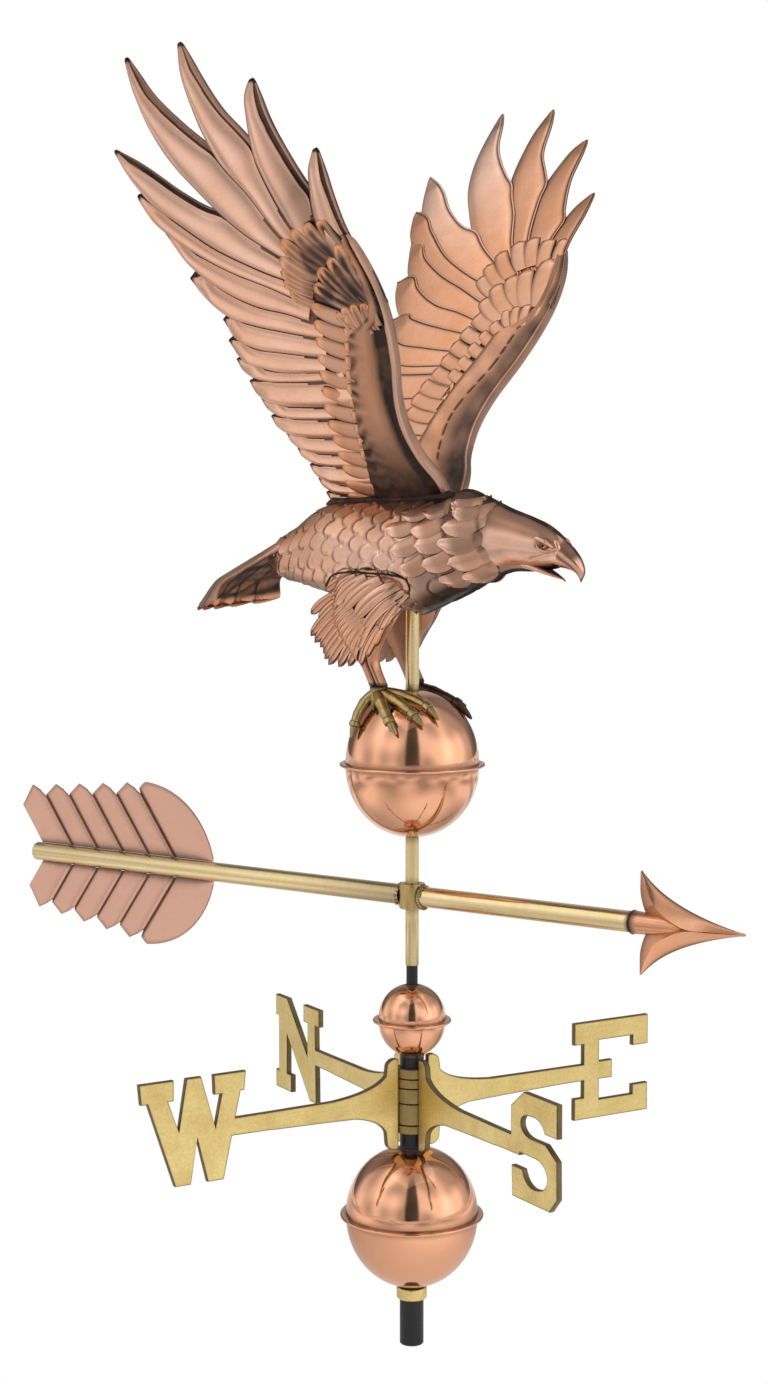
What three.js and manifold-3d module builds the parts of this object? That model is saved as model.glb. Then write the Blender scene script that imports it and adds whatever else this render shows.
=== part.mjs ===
// Eagle weathervane: a copper eagle on a globe turns over an arrow, above four brass
// compass arms fixed to a steel rod. Millimetres, +Z up, +X is the east arm, +Y the north arm.
// The origin is the centre of the rod's lower end.

import * as THREE from 'three';
import { mergeVertices } from 'three/addons/utils/BufferGeometryUtils.js';
import Module from 'manifold-3d';

const wasm = await Module();
wasm.setup();

// Driving dimensions of the fixed part
const GAP = 0.3;
const ROD_RADIUS = 9.35;
const ROD_SHOULDER = 240;
const PIVOT_RADIUS = 4.43;
const PIVOT_TOP = 480;
const COLLAR_RADIUS = 11.85;
const COLLAR_BOTTOM = 36.7;
const COLLAR_TOP = 46.4;
const LARGE_GLOBE_RADIUS = 51.5;
const SMALL_GLOBE_RADIUS = 26;
const RING_PROUD = 4.6;
const LOWER_RING = 103.9;
const SMALL_RING = 257.8;
const PERCH_RING = 457.5;
const HUB_HEIGHT = 193.5;
const HUB_INNER = 13.3;
const HUB_PLATE_HEIGHT = 72;
const ARM_WIDTH = 13.5;
const ARM_CENTRE = 195.6;
const CASTING_THICKNESS = 4.6;
const LETTER_BOTTOM = 156.8;
const ROUND_SIDES = 12;
const GLOBE_SIDES = 16;

// Driving dimensions of the turning part
const HEADING = THREE.MathUtils.degToRad(-65.2);
const VANE_TUBE_RADIUS = 5.19;
const VANE_TUBE_BOTTOM = 300.9;
const ARROW_HEIGHT = 355.4;
const ARROW_TUBE_RADIUS = 7.85;
const ARROW_TUBE_WALL = 1.2;
const ARROW_TAIL_END = -391.8;
const ARROW_SOCKET = 192.4;
const ARROW_TIP = 283.7;
const ARROW_COLLAR_RADIUS = 10;
const ARROW_COLLAR_HEIGHT = 19.5;
const VANE_TUBE_TOP = 600;
const BODY_SCALE_ROWS = 10;
const BODY_SCALE_PITCH = 20.3;
const BODY_SCALE_RELIEF = 2.2;
const BODY_SEGMENTS = 16;
const LEG_SIDES = 10;
const WING_ROOT_OUT = 11;
const WING_ROOT_HEIGHT = 667.5;
const WING_RISE = THREE.MathUtils.degToRad(52.8);
const BANK = THREE.MathUtils.degToRad(2.3);

// Finishes
const metal = (color, roughness, metalness = 1) => (
  new THREE.MeshStandardMaterial({ color, roughness, metalness }));
const copper = () => metal(0xb8734f, 0.34);
const polishedCopper = () => metal(0xc98566, 0.14);
const sheetCopper = () => metal(0xcf9a82, 0.45);
const brass = () => metal(0xc8a951, 0.4);
const tubeBrass = () => metal(0xb9a468, 0.28);
const agedBrass = () => metal(0x8f8350, 0.36);
const blackSteel = () => metal(0x1c1c1e, 0.5, 0.4);

// Joining and cutting closed meshes
function toSolid(geometry) {
  const plain = geometry.clone();
  plain.deleteAttribute('normal');
  plain.deleteAttribute('uv');
  const merged = mergeVertices(plain, 1e-4);
  const mesh = new wasm.Mesh({
    numProp: 3,
    vertProperties: new Float32Array(merged.attributes.position.array),
    triVerts: new Uint32Array(merged.index.array),
  });
  return new wasm.Manifold(mesh);
}

function toGeometry(solid) {
  const mesh = solid.getMesh();
  const geometry = new THREE.BufferGeometry();
  geometry.setAttribute('position', new THREE.BufferAttribute(new Float32Array(mesh.vertProperties), 3));
  geometry.setIndex(new THREE.BufferAttribute(new Uint32Array(mesh.triVerts), 1));
  const flat = geometry.toNonIndexed();
  flat.computeVertexNormals();
  return flat;
}

function join(geometries) {
  return geometries.map(toSolid).reduce((sum, solid) => sum.add(solid));
}

function cut(solid, cutters) {
  return cutters.reduce((rest, cutter) => rest.subtract(cutter), solid);
}

// Moving the vertices of a basic shape by a function of their place
function moved(geometry, place) {
  const position = geometry.attributes.position;
  for (let i = 0; i < position.count; i += 1) {
    const [x, y, z] = place(position.getX(i), position.getY(i), position.getZ(i));
    position.setXYZ(i, x, y, z);
  }
  return geometry;
}

// A shape whose vertices were moved into a mirrored order has its faces turned outwards again
function outward(geometry) {
  const faces = geometry.index ? geometry.toNonIndexed() : geometry;
  const position = faces.attributes.position;
  const corner = (i) => new THREE.Vector3().fromBufferAttribute(position, i);
  let volume = 0;
  for (let i = 0; i < position.count; i += 3) volume += corner(i).dot(corner(i + 1).cross(corner(i + 2)));
  if (volume > 0) return geometry;
  for (let i = 0; i < position.count; i += 3) {
    const [first, second] = [corner(i), corner(i + 1)];
    position.setXYZ(i, second.x, second.y, second.z);
    position.setXYZ(i + 1, first.x, first.y, first.z);
  }
  faces.computeVertexNormals();
  return faces;
}

function mirroredY(geometry) {
  const other = geometry.clone();
  other.scale(1, -1, 1);
  return outward(other);
}

// A strip that runs along t from 0 to 1 and across s from -1 to 1, with an upper and a lower face
function strip(alongCount, acrossCount, place) {
  const box = new THREE.BoxGeometry(1, 1, 1, alongCount, acrossCount, 1);
  return outward(moved(box, (x, y, z) => place(x + 0.5, 2 * y, Math.sign(z))));
}

// A rod of changing radius along a path, lying on its side
function limb(path, radiusAt, sides, steps) {
  const rod = new THREE.CylinderGeometry(1, 1, 1, sides, steps);
  rod.rotateX(Math.PI / 2);
  const bent = moved(rod, (x, y, z) => {
    const t = THREE.MathUtils.clamp(z + 0.5, 0, 1);
    const centre = path.getPoint(t);
    const tangent = path.getTangent(t);
    const side = new THREE.Vector3(0, 0, 1).cross(tangent).normalize();
    const up = tangent.clone().cross(side).normalize();
    const radius = radiusAt(t);
    const point = centre.addScaledVector(side, x * radius).addScaledVector(up, y * radius);
    return [point.x, point.y, point.z];
  });
  return outward(bent);
}

function turned(profile, sides) {
  const points = profile.map(([radius, height]) => new THREE.Vector2(radius, height));
  const lathe = new THREE.LatheGeometry([...points, points[0].clone()], sides);
  lathe.rotateX(Math.PI / 2);
  return outward(lathe);
}

// Value of a table's column at a place along it, on a smooth curve through the rows
function tableAt(table, place, column) {
  let i = 0;
  while (i < table.length - 2 && place > table[i + 1][0]) i += 1;
  const row = (n) => table[THREE.MathUtils.clamp(n, 0, table.length - 1)];
  const [p0, p1, p2, p3] = [row(i - 1), row(i), row(i + 1), row(i + 2)];
  const span = p2[0] - p1[0];
  const t = THREE.MathUtils.clamp((place - p1[0]) / span, 0, 1);
  const slope1 = ((p2[column] - p0[column]) / Math.max(p2[0] - p0[0], 1)) * span;
  const slope2 = ((p3[column] - p1[column]) / Math.max(p3[0] - p1[0], 1)) * span;
  const t2 = t * t;
  const t3 = t2 * t;
  return (2 * t3 - 3 * t2 + 1) * p1[column] + (t3 - 2 * t2 + t) * slope1
    + (3 * t2 - 2 * t3) * p2[column] + (t3 - t2) * slope2;
}

// Fixed part: steel rod, collar and globes
function steelRod() {
  return turned([
    [0, 0], [ROD_RADIUS, 0], [ROD_RADIUS, ROD_SHOULDER],
    [PIVOT_RADIUS, ROD_SHOULDER], [PIVOT_RADIUS, PIVOT_TOP], [0, PIVOT_TOP],
  ], ROUND_SIDES);
}

function globeCollar() {
  const bore = ROD_RADIUS + 2 * GAP;
  const bevel = 1.2;
  return turned([
    [bore, COLLAR_BOTTOM], [COLLAR_RADIUS - bevel, COLLAR_BOTTOM], [COLLAR_RADIUS, COLLAR_BOTTOM + bevel],
    [COLLAR_RADIUS, COLLAR_TOP - GAP], [bore, COLLAR_TOP - GAP],
  ], ROUND_SIDES);
}

// Two spun cups meet at a rolled ring. The two bore radii are below and above.
function globe(ring, radius, below, above, boreBelow, boreAbove, shelf) {
  const steps = radius > SMALL_GLOBE_RADIUS + GAP ? 4 : 3;
  const ringHalf = 1.6;
  const ringLip = 1.1;
  const neck = 2;
  const outline = [[boreBelow, ring - below]];
  for (let i = 1; i <= steps; i += 1) {
    const turn = (i / steps) * Math.PI / 2;
    const reach = Math.max(radius * Math.sin(turn), boreBelow + neck);
    outline.push([reach, ring - ringHalf - (below - ringHalf) * Math.cos(turn)]);
  }
  outline.push([radius + RING_PROUD, ring - ringLip], [radius + RING_PROUD, ring + ringLip]);
  for (let i = steps; i >= 1; i -= 1) {
    const turn = (i / steps) * Math.PI / 2;
    const reach = Math.max(radius * Math.sin(turn) ** 0.92, boreAbove + neck);
    outline.push([reach, ring + ringHalf + (above - ringHalf) * Math.cos(turn)]);
  }
  outline.push([boreAbove, ring + above]);
  if (boreAbove !== boreBelow) outline.push([boreAbove, shelf], [boreBelow, shelf]);
  return turned(outline, GLOBE_SIDES);
}

// Compass letters, drawn in millimetres from the hub side outwards
function shapeOf(points) {
  return new THREE.Shape(points.map(([x, y]) => new THREE.Vector2(x, y)));
}

function letterN() {
  return shapeOf([
    [5, 0], [16, 0], [56, 49], [56, 15], [48.5, 15], [48.5, 0], [76, 0], [76, 15], [70.7, 15],
    [70.7, 62.5], [76, 62.5], [76, 80], [55.7, 80], [20, 37], [20, 65.5], [27, 65.5], [27, 80],
    [0, 80], [0, 65.5], [6.5, 65.5],
  ]);
}

function letterE() {
  return shapeOf([
    [0, 0], [73.5, 0], [73.5, 23], [58, 23], [58, 15], [24.5, 15], [24.5, 31.7], [37.5, 31.7], [37.5, 46.6],
    [24.5, 46.6], [24.5, 64], [58, 64], [58, 55.5], [73.5, 55.5], [73.5, 80], [0, 80], [0, 62], [9, 62],
    [9, 18], [0, 18],
  ]);
}

function letterW() {
  return shapeOf([
    [4.6, 65.5], [1.5, 65.5], [0, 80], [26.9, 80], [26.3, 65], [20.5, 65], [25.6, 40], [37, 80], [49.2, 80],
    [55.6, 41], [63.9, 64.6], [59.4, 64.6], [59.4, 80], [87.5, 80], [86, 64.6], [80.7, 64.6], [58.9, 0],
    [46.1, 0], [40.6, 34], [32.3, 0], [19, 0],
  ]);
}

function letterS() {
  const shape = new THREE.Shape();
  shape.moveTo(2, 0);
  shape.lineTo(49.7, 0);
  shape.lineTo(59.4, 11);
  shape.lineTo(58.8, 38.6);
  shape.lineTo(44.3, 47.9);
  shape.lineTo(27, 47.9);
  shape.bezierCurveTo(9, 48, 9, 64, 24, 63.6);
  shape.bezierCurveTo(34, 65, 40, 62, 43.2, 55);
  shape.lineTo(59, 55);
  shape.lineTo(59, 80);
  shape.lineTo(16.2, 80);
  shape.lineTo(0, 67);
  shape.lineTo(0, 34.7);
  shape.lineTo(33, 34.2);
  shape.bezierCurveTo(50, 32, 51, 15, 36, 12.5);
  shape.bezierCurveTo(25, 10, 18, 14, 15.1, 23);
  shape.lineTo(1, 23);
  return shape;
}

// A compass arm is one casting: hub plate, flared arm and letter, and the eyes round the rod
function armOutline(letterInner) {
  const top = HUB_HEIGHT + HUB_PLATE_HEIGHT / 2;
  const bottom = HUB_HEIGHT - HUB_PLATE_HEIGHT / 2;
  const lobe = 10.5;
  const armEnd = letterInner + 12;
  const half = ARM_WIDTH / 2;
  const shape = new THREE.Shape();
  shape.moveTo(HUB_INNER, bottom + 1);
  shape.quadraticCurveTo(HUB_INNER + lobe / 2, bottom - 2, HUB_INNER + lobe, bottom + 5);
  shape.lineTo(HUB_INNER + lobe + 1, bottom + 15);
  shape.quadraticCurveTo(HUB_INNER + 17, ARM_CENTRE - 13, 52, ARM_CENTRE - half - 2.5);
  shape.lineTo(armEnd, ARM_CENTRE - half);
  shape.lineTo(armEnd, ARM_CENTRE + half);
  shape.lineTo(72, ARM_CENTRE + half + 0.6);
  shape.quadraticCurveTo(HUB_INNER + 22, ARM_CENTRE + 10, HUB_INNER + lobe + 1, top - 13);
  shape.lineTo(HUB_INNER + lobe, top - 5);
  shape.quadraticCurveTo(HUB_INNER + lobe / 2, top + 2, HUB_INNER, top - 1);
  return shape;
}

function plate(shape, curveSegments) {
  const depth = CASTING_THICKNESS;
  const slab = new THREE.ExtrudeGeometry(shape, { depth, bevelEnabled: false, curveSegments });
  slab.translate(0, 0, -depth / 2);
  slab.rotateX(Math.PI / 2);
  return slab;
}

function compassArm(letterShape, letterInner, eyes) {
  const letter = plate(letterShape, 3);
  letter.translate(letterInner, 0, LETTER_BOTTOM);
  const pieces = [plate(armOutline(letterInner), 2), letter];
  const bore = ROD_RADIUS + 2.4 * GAP;
  const outer = HUB_INNER - GAP;
  for (const [low, high] of eyes) {
    pieces.push(turned([[bore, low], [outer, low], [outer, high], [bore, high]], ROUND_SIDES));
    const neck = new THREE.BoxGeometry(4, CASTING_THICKNESS * 0.8, high - low - 1);
    neck.translate(outer + 0.4, 0, (low + high) / 2);
    pieces.push(neck);
  }
  return join(pieces);
}

// Turning part: tubes, collar, fletching and arrowhead
function vaneTube(bodySolid) {
  const bore = PIVOT_RADIUS + GAP;
  const tube = turned([
    [bore, VANE_TUBE_BOTTOM], [VANE_TUBE_RADIUS, VANE_TUBE_BOTTOM],
    [VANE_TUBE_RADIUS, VANE_TUBE_TOP], [bore, VANE_TUBE_TOP],
  ], ROUND_SIDES);
  return cut(toSolid(tube), [bodySolid]);
}

function arrowCollar() {
  const half = ARROW_COLLAR_HEIGHT / 2;
  const bore = VANE_TUBE_RADIUS + 1.5 * GAP;
  return turned([
    [bore, ARROW_HEIGHT - half], [ARROW_COLLAR_RADIUS, ARROW_HEIGHT - half],
    [ARROW_COLLAR_RADIUS, ARROW_HEIGHT + half], [bore, ARROW_HEIGHT + half],
  ], ROUND_SIDES);
}

function lyingTube(start, end, closedEnd) {
  const outer = ARROW_TUBE_RADIUS;
  const bore = outer - ARROW_TUBE_WALL;
  const length = end - start;
  const chamfer = 1.5;
  const plug = 3;
  const open = [[bore, 0], [outer, 0], [outer, length], [bore, length]];
  const closed = [
    [0, 0], [outer - chamfer, 0], [outer, chamfer], [outer, length],
    [bore, length], [bore, plug], [0, plug],
  ];
  const tube = turned(closedEnd ? closed : open, ROUND_SIDES);
  tube.rotateY(Math.PI / 2);
  tube.translate(start, 0, ARROW_HEIGHT);
  return tube;
}

// Folded sheet: slanted panels whose free edge is a row of peaks, the last one rounded
const FLETCH_PANELS = 5;
const FLETCH_FOOT = -377.5;
const FLETCH_PITCH = 28.4;
const FLETCH_FRONT = -197;
const FLETCH_THICKNESS = 1.8;
const FLETCH_SLANT = 0.72;
const FLETCH_ROUND_COLUMNS = 6;

// Each panel has a valley, a peak and the top of the fold, at these shares of the pitch
const FLETCH_PARTS = [
  { share: 0, rise: 0, fold: 0 },
  { share: 0.59, rise: 9, fold: 0 },
  { share: 0.84, rise: 4.5, fold: 2.4 },
];

function fletching(side) {
  const base = ARROW_TUBE_RADIUS + GAP;
  const firstHeight = side > 0 ? 40 : 31.6;
  const growth = side > 0 ? 2.4 : 3.9;
  const panelColumns = FLETCH_PANELS * FLETCH_PARTS.length;
  const columns = panelColumns + FLETCH_ROUND_COLUMNS;
  return strip(columns, 1, (t, s, face) => {
    const column = Math.round(t * columns);
    const panel = Math.floor(column / FLETCH_PARTS.length);
    const part = FLETCH_PARTS[column % FLETCH_PARTS.length];
    const round = Math.max(column - panelColumns, 0) / FLETCH_ROUND_COLUMNS;
    let foot = FLETCH_FOOT + (panel + part.share) * FLETCH_PITCH;
    let height = firstHeight + growth * panel + part.rise;
    if (column === 0) {
      foot -= 8;
      height -= 9;
    }
    if (round > 0) {
      foot = THREE.MathUtils.lerp(FLETCH_FOOT + FLETCH_PANELS * FLETCH_PITCH, FLETCH_FRONT, round);
      height = (firstHeight + growth * FLETCH_PANELS + 6) * (1 - round ** 2.6) + 3;
    }
    const fold = round > 0 ? 0 : part.fold;
    const out = s < 0 ? 0 : height;
    const along = foot - out * FLETCH_SLANT * (1 - round);
    return [along, fold + face * FLETCH_THICKNESS / 2, ARROW_HEIGHT + side * (base + out)];
  });
}

// A barbed head, ridged along each barb and along the point
function arrowBarb() {
  const edge = new THREE.QuadraticBezierCurve(
    new THREE.Vector2(200.5, 38.5), new THREE.Vector2(222, 12), new THREE.Vector2(ARROW_TIP, 0.4));
  const ridge = new THREE.CatmullRomCurve3([
    new THREE.Vector3(200.2, 38, 0.8), new THREE.Vector3(213, 16, 6), new THREE.Vector3(240, 0.8, 9),
    new THREE.Vector3(ARROW_TIP - 0.4, 0, 0.8)]);
  const inner = new THREE.CatmullRomCurve3([
    new THREE.Vector3(199.6, 37.5, 0), new THREE.Vector3(200.5, 18, 0), new THREE.Vector3(207, 4, 0),
    new THREE.Vector3(225, -1.5, 0), new THREE.Vector3(ARROW_TIP - 1, -1, 0)]);
  return strip(5, 2, (t, s, face) => {
    const crest = ridge.getPoint(t);
    if (s === 0) return [crest.x, face * crest.z, ARROW_HEIGHT + crest.y];
    const rim = s > 0 ? edge.getPoint(t) : inner.getPoint(t);
    return [rim.x, face * 0.6, ARROW_HEIGHT + rim.y];
  });
}

function arrowHead() {
  const upper = arrowBarb();
  const lower = outward(moved(arrowBarb(), (x, y, z) => [x, -y, 2 * ARROW_HEIGHT - z]));
  const socket = turned([[0, ARROW_SOCKET + GAP], [8.4, ARROW_SOCKET + GAP], [7, 232], [0, 246]], 10);
  socket.rotateY(Math.PI / 2);
  socket.translate(0, 0, ARROW_HEIGHT);
  return join([upper, lower, socket]);
}

// Eagle body: place along it, top, underside and half width
const BODY_SECTIONS = [
  [-138, 619, 609, 4], [-125, 629, 600, 13], [-104, 640, 595, 21], [-78, 655.5, 589, 28],
  [-45, 660, 582, 33], [-6, 661, 577, 35], [14, 662.5, 575, 34], [34, 665, 582, 32],
  [52, 667.5, 590.5, 28.5], [72, 660.5, 601, 24], [90, 653, 608, 20], [109, 646.5, 609, 18],
  [122, 641, 610.5, 16.5], [132, 634, 613, 13], [138, 628, 617, 9],
];

function bodySection(place, angle, grow) {
  const top = tableAt(BODY_SECTIONS, place, 1);
  const under = tableAt(BODY_SECTIONS, place, 2);
  const half = tableAt(BODY_SECTIONS, place, 3);
  const sin = Math.sin(angle);
  const cos = Math.cos(angle);
  return [
    (half + grow) * Math.sign(cos) * Math.abs(cos) ** 0.92,
    (top + under) / 2 + ((top - under) / 2 + grow) * sin,
  ];
}

// Rings of the body from the face to the rump; feathered rings come in pairs, a lip and the step under it
function bodyRings() {
  const firstScale = 70;
  const step = 1;
  const smooth = (a) => ({ a, row: 0, lip: 0, wave: 0 });
  const rings = [137.5, 133, 125, 112, 97, 82].map(smooth);
  for (let row = 0; row < BODY_SCALE_ROWS; row += 1) {
    const a = firstScale - row * BODY_SCALE_PITCH;
    rings.push({ a, row, lip: BODY_SCALE_RELIEF, wave: 4 });
    rings.push({ a: a - step, row, lip: 0, wave: 4 });
  }
  rings.push(...[-126, -135].map(smooth));
  return rings;
}

function bodyHull(grow) {
  const rings = bodyRings();
  const bands = rings.length + 1;
  const face = [139 + grow, 0, 622.5];
  const rump = [-138 - grow, 0, 614];
  const shell = new THREE.SphereGeometry(1, BODY_SEGMENTS, bands);
  shell.rotateZ(-Math.PI / 2);
  const hull = moved(shell, (x, y, z) => {
    const index = Math.round((Math.acos(THREE.MathUtils.clamp(x, -1, 1)) / Math.PI) * bands);
    if (index === 0) return face;
    if (index === bands) return rump;
    const ring = rings[index - 1];
    const turn = Math.atan2(z, y);
    const segment = Math.round((turn / (2 * Math.PI)) * BODY_SEGMENTS + BODY_SEGMENTS);
    const tip = (segment + ring.row) % 2 === 0;
    const along = ring.a + (tip ? -ring.wave : ring.wave);
    const [b, c] = bodySection(along, turn, grow + (tip ? ring.lip : 0));
    return [along, b, c];
  });
  return outward(hull);
}

function beak() {
  const upper = new THREE.QuadraticBezierCurve3(
    new THREE.Vector3(122, 0, 622), new THREE.Vector3(153, 0, 625), new THREE.Vector3(148, 0, 601));
  const lower = new THREE.QuadraticBezierCurve3(
    new THREE.Vector3(106, 0, 613), new THREE.Vector3(122, 0, 609), new THREE.Vector3(135, 0, 602));
  return [
    limb(upper, (t) => 9.5 - 8.7 * t ** 1.3, 8, 5),
    limb(lower, (t) => 6 - 5.2 * t, 6, 3),
  ];
}

// Eyes and the ridges over them
const EYE = { a: 124, b: 13.6, c: 628, radius: 3.4 };
const BROW = { a: 126, b: 12.6, c: 633, length: 9, width: 3, height: 2, droop: 22 };

function faceFeatures() {
  const parts = [];
  for (const side of [-1, 1]) {
    const eye = new THREE.SphereGeometry(EYE.radius, 6, 4);
    eye.translate(EYE.a, side * EYE.b, EYE.c);
    const brow = new THREE.SphereGeometry(1, 6, 4);
    brow.scale(BROW.length, BROW.width, BROW.height);
    brow.rotateY(THREE.MathUtils.degToRad(BROW.droop));
    brow.translate(BROW.a, side * BROW.b, BROW.c);
    parts.push(eye, brow);
  }
  return parts;
}

// Wings are drawn in their own plane: forward, then out along the wing
const LEADING_EDGE = [
  [42, -16], [34, 25], [30, 58], [34, 86], [45, 117], [54, 148], [58, 178], [57, 203], [52, 232],
];
const COVERT_LINE = [
  [-57, -12], [-46, 21], [-43, 55], [-37, 90], [-26, 125], [-16, 150], [-11, 178], [-17, 206], [-8, 231],
  [6, 242], [22, 244], [38, 240],
];
const SMALL_COVERT_LINE = [
  [-24, -14], [-13, 39], [-4, 90], [8, 125], [18, 148], [23, 162], [25, 185], [31, 205], [38, 214],
  [46, 220],
];
const PRIMARIES = [
  { root: [-10, 203], bend: [-82, 243], tip: [-114, 313], half: 14 },
  { root: [-4, 225], bend: [-65, 297], tip: [-67, 382], half: 17 },
  { root: [2, 232], bend: [-20, 310], tip: [-14, 388], half: 15 },
  { root: [17, 236], bend: [11, 296], tip: [30, 354], half: 13 },
  { root: [38, 230], bend: [40, 262], tip: [57, 298], half: 10.5 },
];
const OUTER_SECONDARY_TIPS = [[-92, 165], [-103, 203], [-106, 243], [-114, 276]];
const INNER_SECONDARIES = 11;
const FIRST_SECONDARY_TIP = [-74, -14.5];
const SECONDARY_STEP = [-2.2, 15.85];

function planeCurve(points) {
  return new THREE.SplineCurve(points.map(([x, y]) => new THREE.Vector2(x, y)));
}

// Tips of the trailing feathers, from the body outwards
function secondaryTips() {
  const first = new THREE.Vector2(...FIRST_SECONDARY_TIP);
  const step = new THREE.Vector2(...SECONDARY_STEP);
  const tips = [];
  for (let i = 0; i < INNER_SECONDARIES; i += 1) tips.push(first.clone().addScaledVector(step, i));
  OUTER_SECONDARY_TIPS.forEach(([a, w]) => tips.push(new THREE.Vector2(a, w)));
  return tips;
}

// One primary: a crowned blade on a bent centre line
function primary({ root, bend, tip, half }) {
  const spine = new THREE.QuadraticBezierCurve(
    new THREE.Vector2(...root), new THREE.Vector2(...bend), new THREE.Vector2(...tip));
  return strip(4, 2, (t, s, face) => {
    const centre = spine.getPoint(t);
    const tangent = spine.getTangent(t);
    const width = half * (0.82 + 0.18 * Math.sin(Math.PI * t)) * Math.max(1 - t ** 3.2, 0) ** 0.7 + 0.8;
    const height = (face * (0.8 + 1.4 * (1 - s * s)) - 0.8 * s) * (1 - 0.3 * t);
    return [centre.x - tangent.y * s * width, centre.y + tangent.x * s * width, height];
  });
}

// The rest of the wing is one sheet: a rolled leading edge and smooth band, two rows of coverts
// and the trailing feathers, each lapped over the next by a step
function wingSheet() {
  const rows = [
    { top: -1.5, under: -3.5 },
    { top: 3.4, under: -5 },
    { top: 4.8, under: -3 },
    { top: 3.3, under: -1.8 },
    { top: 3.2, under: -3 },
    { top: 1.5, under: -1.5 },
    { top: 1.3, under: -1.2 },
    { top: 0.8, under: -0.7 },
  ];
  const lapEnd = 0.94;
  const rimShare = 0.16;
  const lip = 3;
  const step = 1;
  const tips = secondaryTips();
  const feathers = tips.length + PRIMARIES.length;
  const lead = planeCurve(LEADING_EDGE);
  const coverts = planeCurve(COVERT_LINE);
  const smallCoverts = planeCurve(SMALL_COVERT_LINE);
  const paired = 2 * tips.length;
  const columns = paired + PRIMARIES.length;
  return strip(rows.length - 1, columns, (t, s, face) => {
    const row = Math.round(t * (rows.length - 1));
    const column = Math.round(((s + 1) / 2) * columns);
    const index = column < paired ? Math.floor(column / 2) : column - tips.length;
    const outerSide = column < paired ? column % 2 : 0;
    const u = (index + outerSide * lapEnd) / feathers;
    const covert = coverts.getPointAt(u);
    const small = smallCoverts.getPointAt(u);
    const edge = lead.getPointAt(u);
    const bulge = outerSide ? 0 : lip;
    let point;
    if (row <= 1) point = edge.clone().lerp(small, row * rimShare);
    else if (row <= 3) point = small.clone().add(new THREE.Vector2(bulge - (row === 3 ? step : 0), 0));
    else if (row <= 5) point = covert.clone().add(new THREE.Vector2(bulge - (row === 5 ? step : 0), 0));
    else point = featherPoint(tips, index, outerSide, covert, row === 6 ? 0.5 : 1);
    if (row >= 5 && index >= tips.length) return [point.x, point.y, face * 0.4];
    const tilt = row >= 2 ? (outerSide ? 0.7 : -0.7) : 0;
    return [point.x, point.y, (face > 0 ? rows[row].top : rows[row].under) + tilt];
  });
}

function featherPoint(tips, index, outerSide, covert, reach) {
  if (index >= tips.length) {
    const inward = new THREE.Vector2(-0.8, 1.2);
    return covert.clone().addScaledVector(inward, reach);
  }
  const below = Math.max(index - 1, 0);
  const edgeTip = outerSide ? tips[index] : tips[below];
  const end = outerSide ? edgeTip : covert.clone().lerp(edgeTip, index > INNER_SECONDARIES ? 0.74 : 0.86);
  const drop = index > INNER_SECONDARIES - 2 ? 0.16 : 0.1;
  const middle = covert.clone().lerp(end, 0.56);
  middle.y -= covert.distanceTo(end) * drop;
  return reach < 1 ? middle : end.clone();
}

function wing(side, bodySolid) {
  const flat = join([wingSheet(), ...PRIMARIES.map(primary)]);
  let geometry = toGeometry(flat);
  geometry = moved(geometry, (a, w, h) => [
    a,
    WING_ROOT_OUT + w * Math.cos(WING_RISE) - h * Math.sin(WING_RISE),
    w * Math.sin(WING_RISE) + h * Math.cos(WING_RISE),
  ]);
  if (side < 0) geometry = mirroredY(geometry);
  geometry.rotateX(BANK);
  geometry.translate(0, 0, WING_ROOT_HEIGHT);
  const otherSide = new THREE.BoxGeometry(400, 200, 800);
  otherSide.translate(0, -side * 99.6, 700);
  return cut(toSolid(geometry), [bodySolid, toSolid(otherSide)]);
}

// Tail: an arched fan, notched between its feathers, hollow below
const TAIL_ROOT = -112;
const TAIL_FEATHERS = 7;

function tail(bodySolid) {
  const columns = TAIL_FEATHERS * 2;
  const fan = strip(3, columns, (t, s, face) => {
    const column = Math.round(((s + 1) / 2) * columns);
    const notch = column % 2 === 0 ? 1 : 0;
    const reach = 92 - 26 * s * s - (t > 0.9 ? 5 * notch : 0);
    const a = TAIL_ROOT - reach * t;
    const b = s * (15 + 21 * t ** 0.9);
    const arch = (9 + 9 * t) * s * s;
    const rib = face * (1.3 - 0.7 * notch);
    const c = 632 - 0.54 * reach * t - arch + rib;
    return [a - 0.4 * rib, b, c];
  });
  return cut(toSolid(fan), [bodySolid]);
}

// Feathered legs and cast feet
const ANKLE = [-14, 25, 519];
const LEG_TIPS = [[591, -66], [573, -76], [555, -75], [541, -64], [531, -46]];
const TOE_TIPS = [[-26, 45, 477.5], [18, 47, 483], [34, 33, 489.5], [40, 21.5, 493]];

// Height, middle forward and outward, half depth and half width of the feathered leg
const LEG_SECTIONS = [
  [519, -14, 25, 8.2, 6.6], [525, -17, 25, 8.6, 7.2], [538, -24, 25, 13, 9], [552, -27, 26, 22, 12],
  [570, -25, 26, 31, 16], [588, -21, 24, 34, 18], [604, -18, 20, 33, 17], [614, -18, 15, 28, 13],
];

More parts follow.
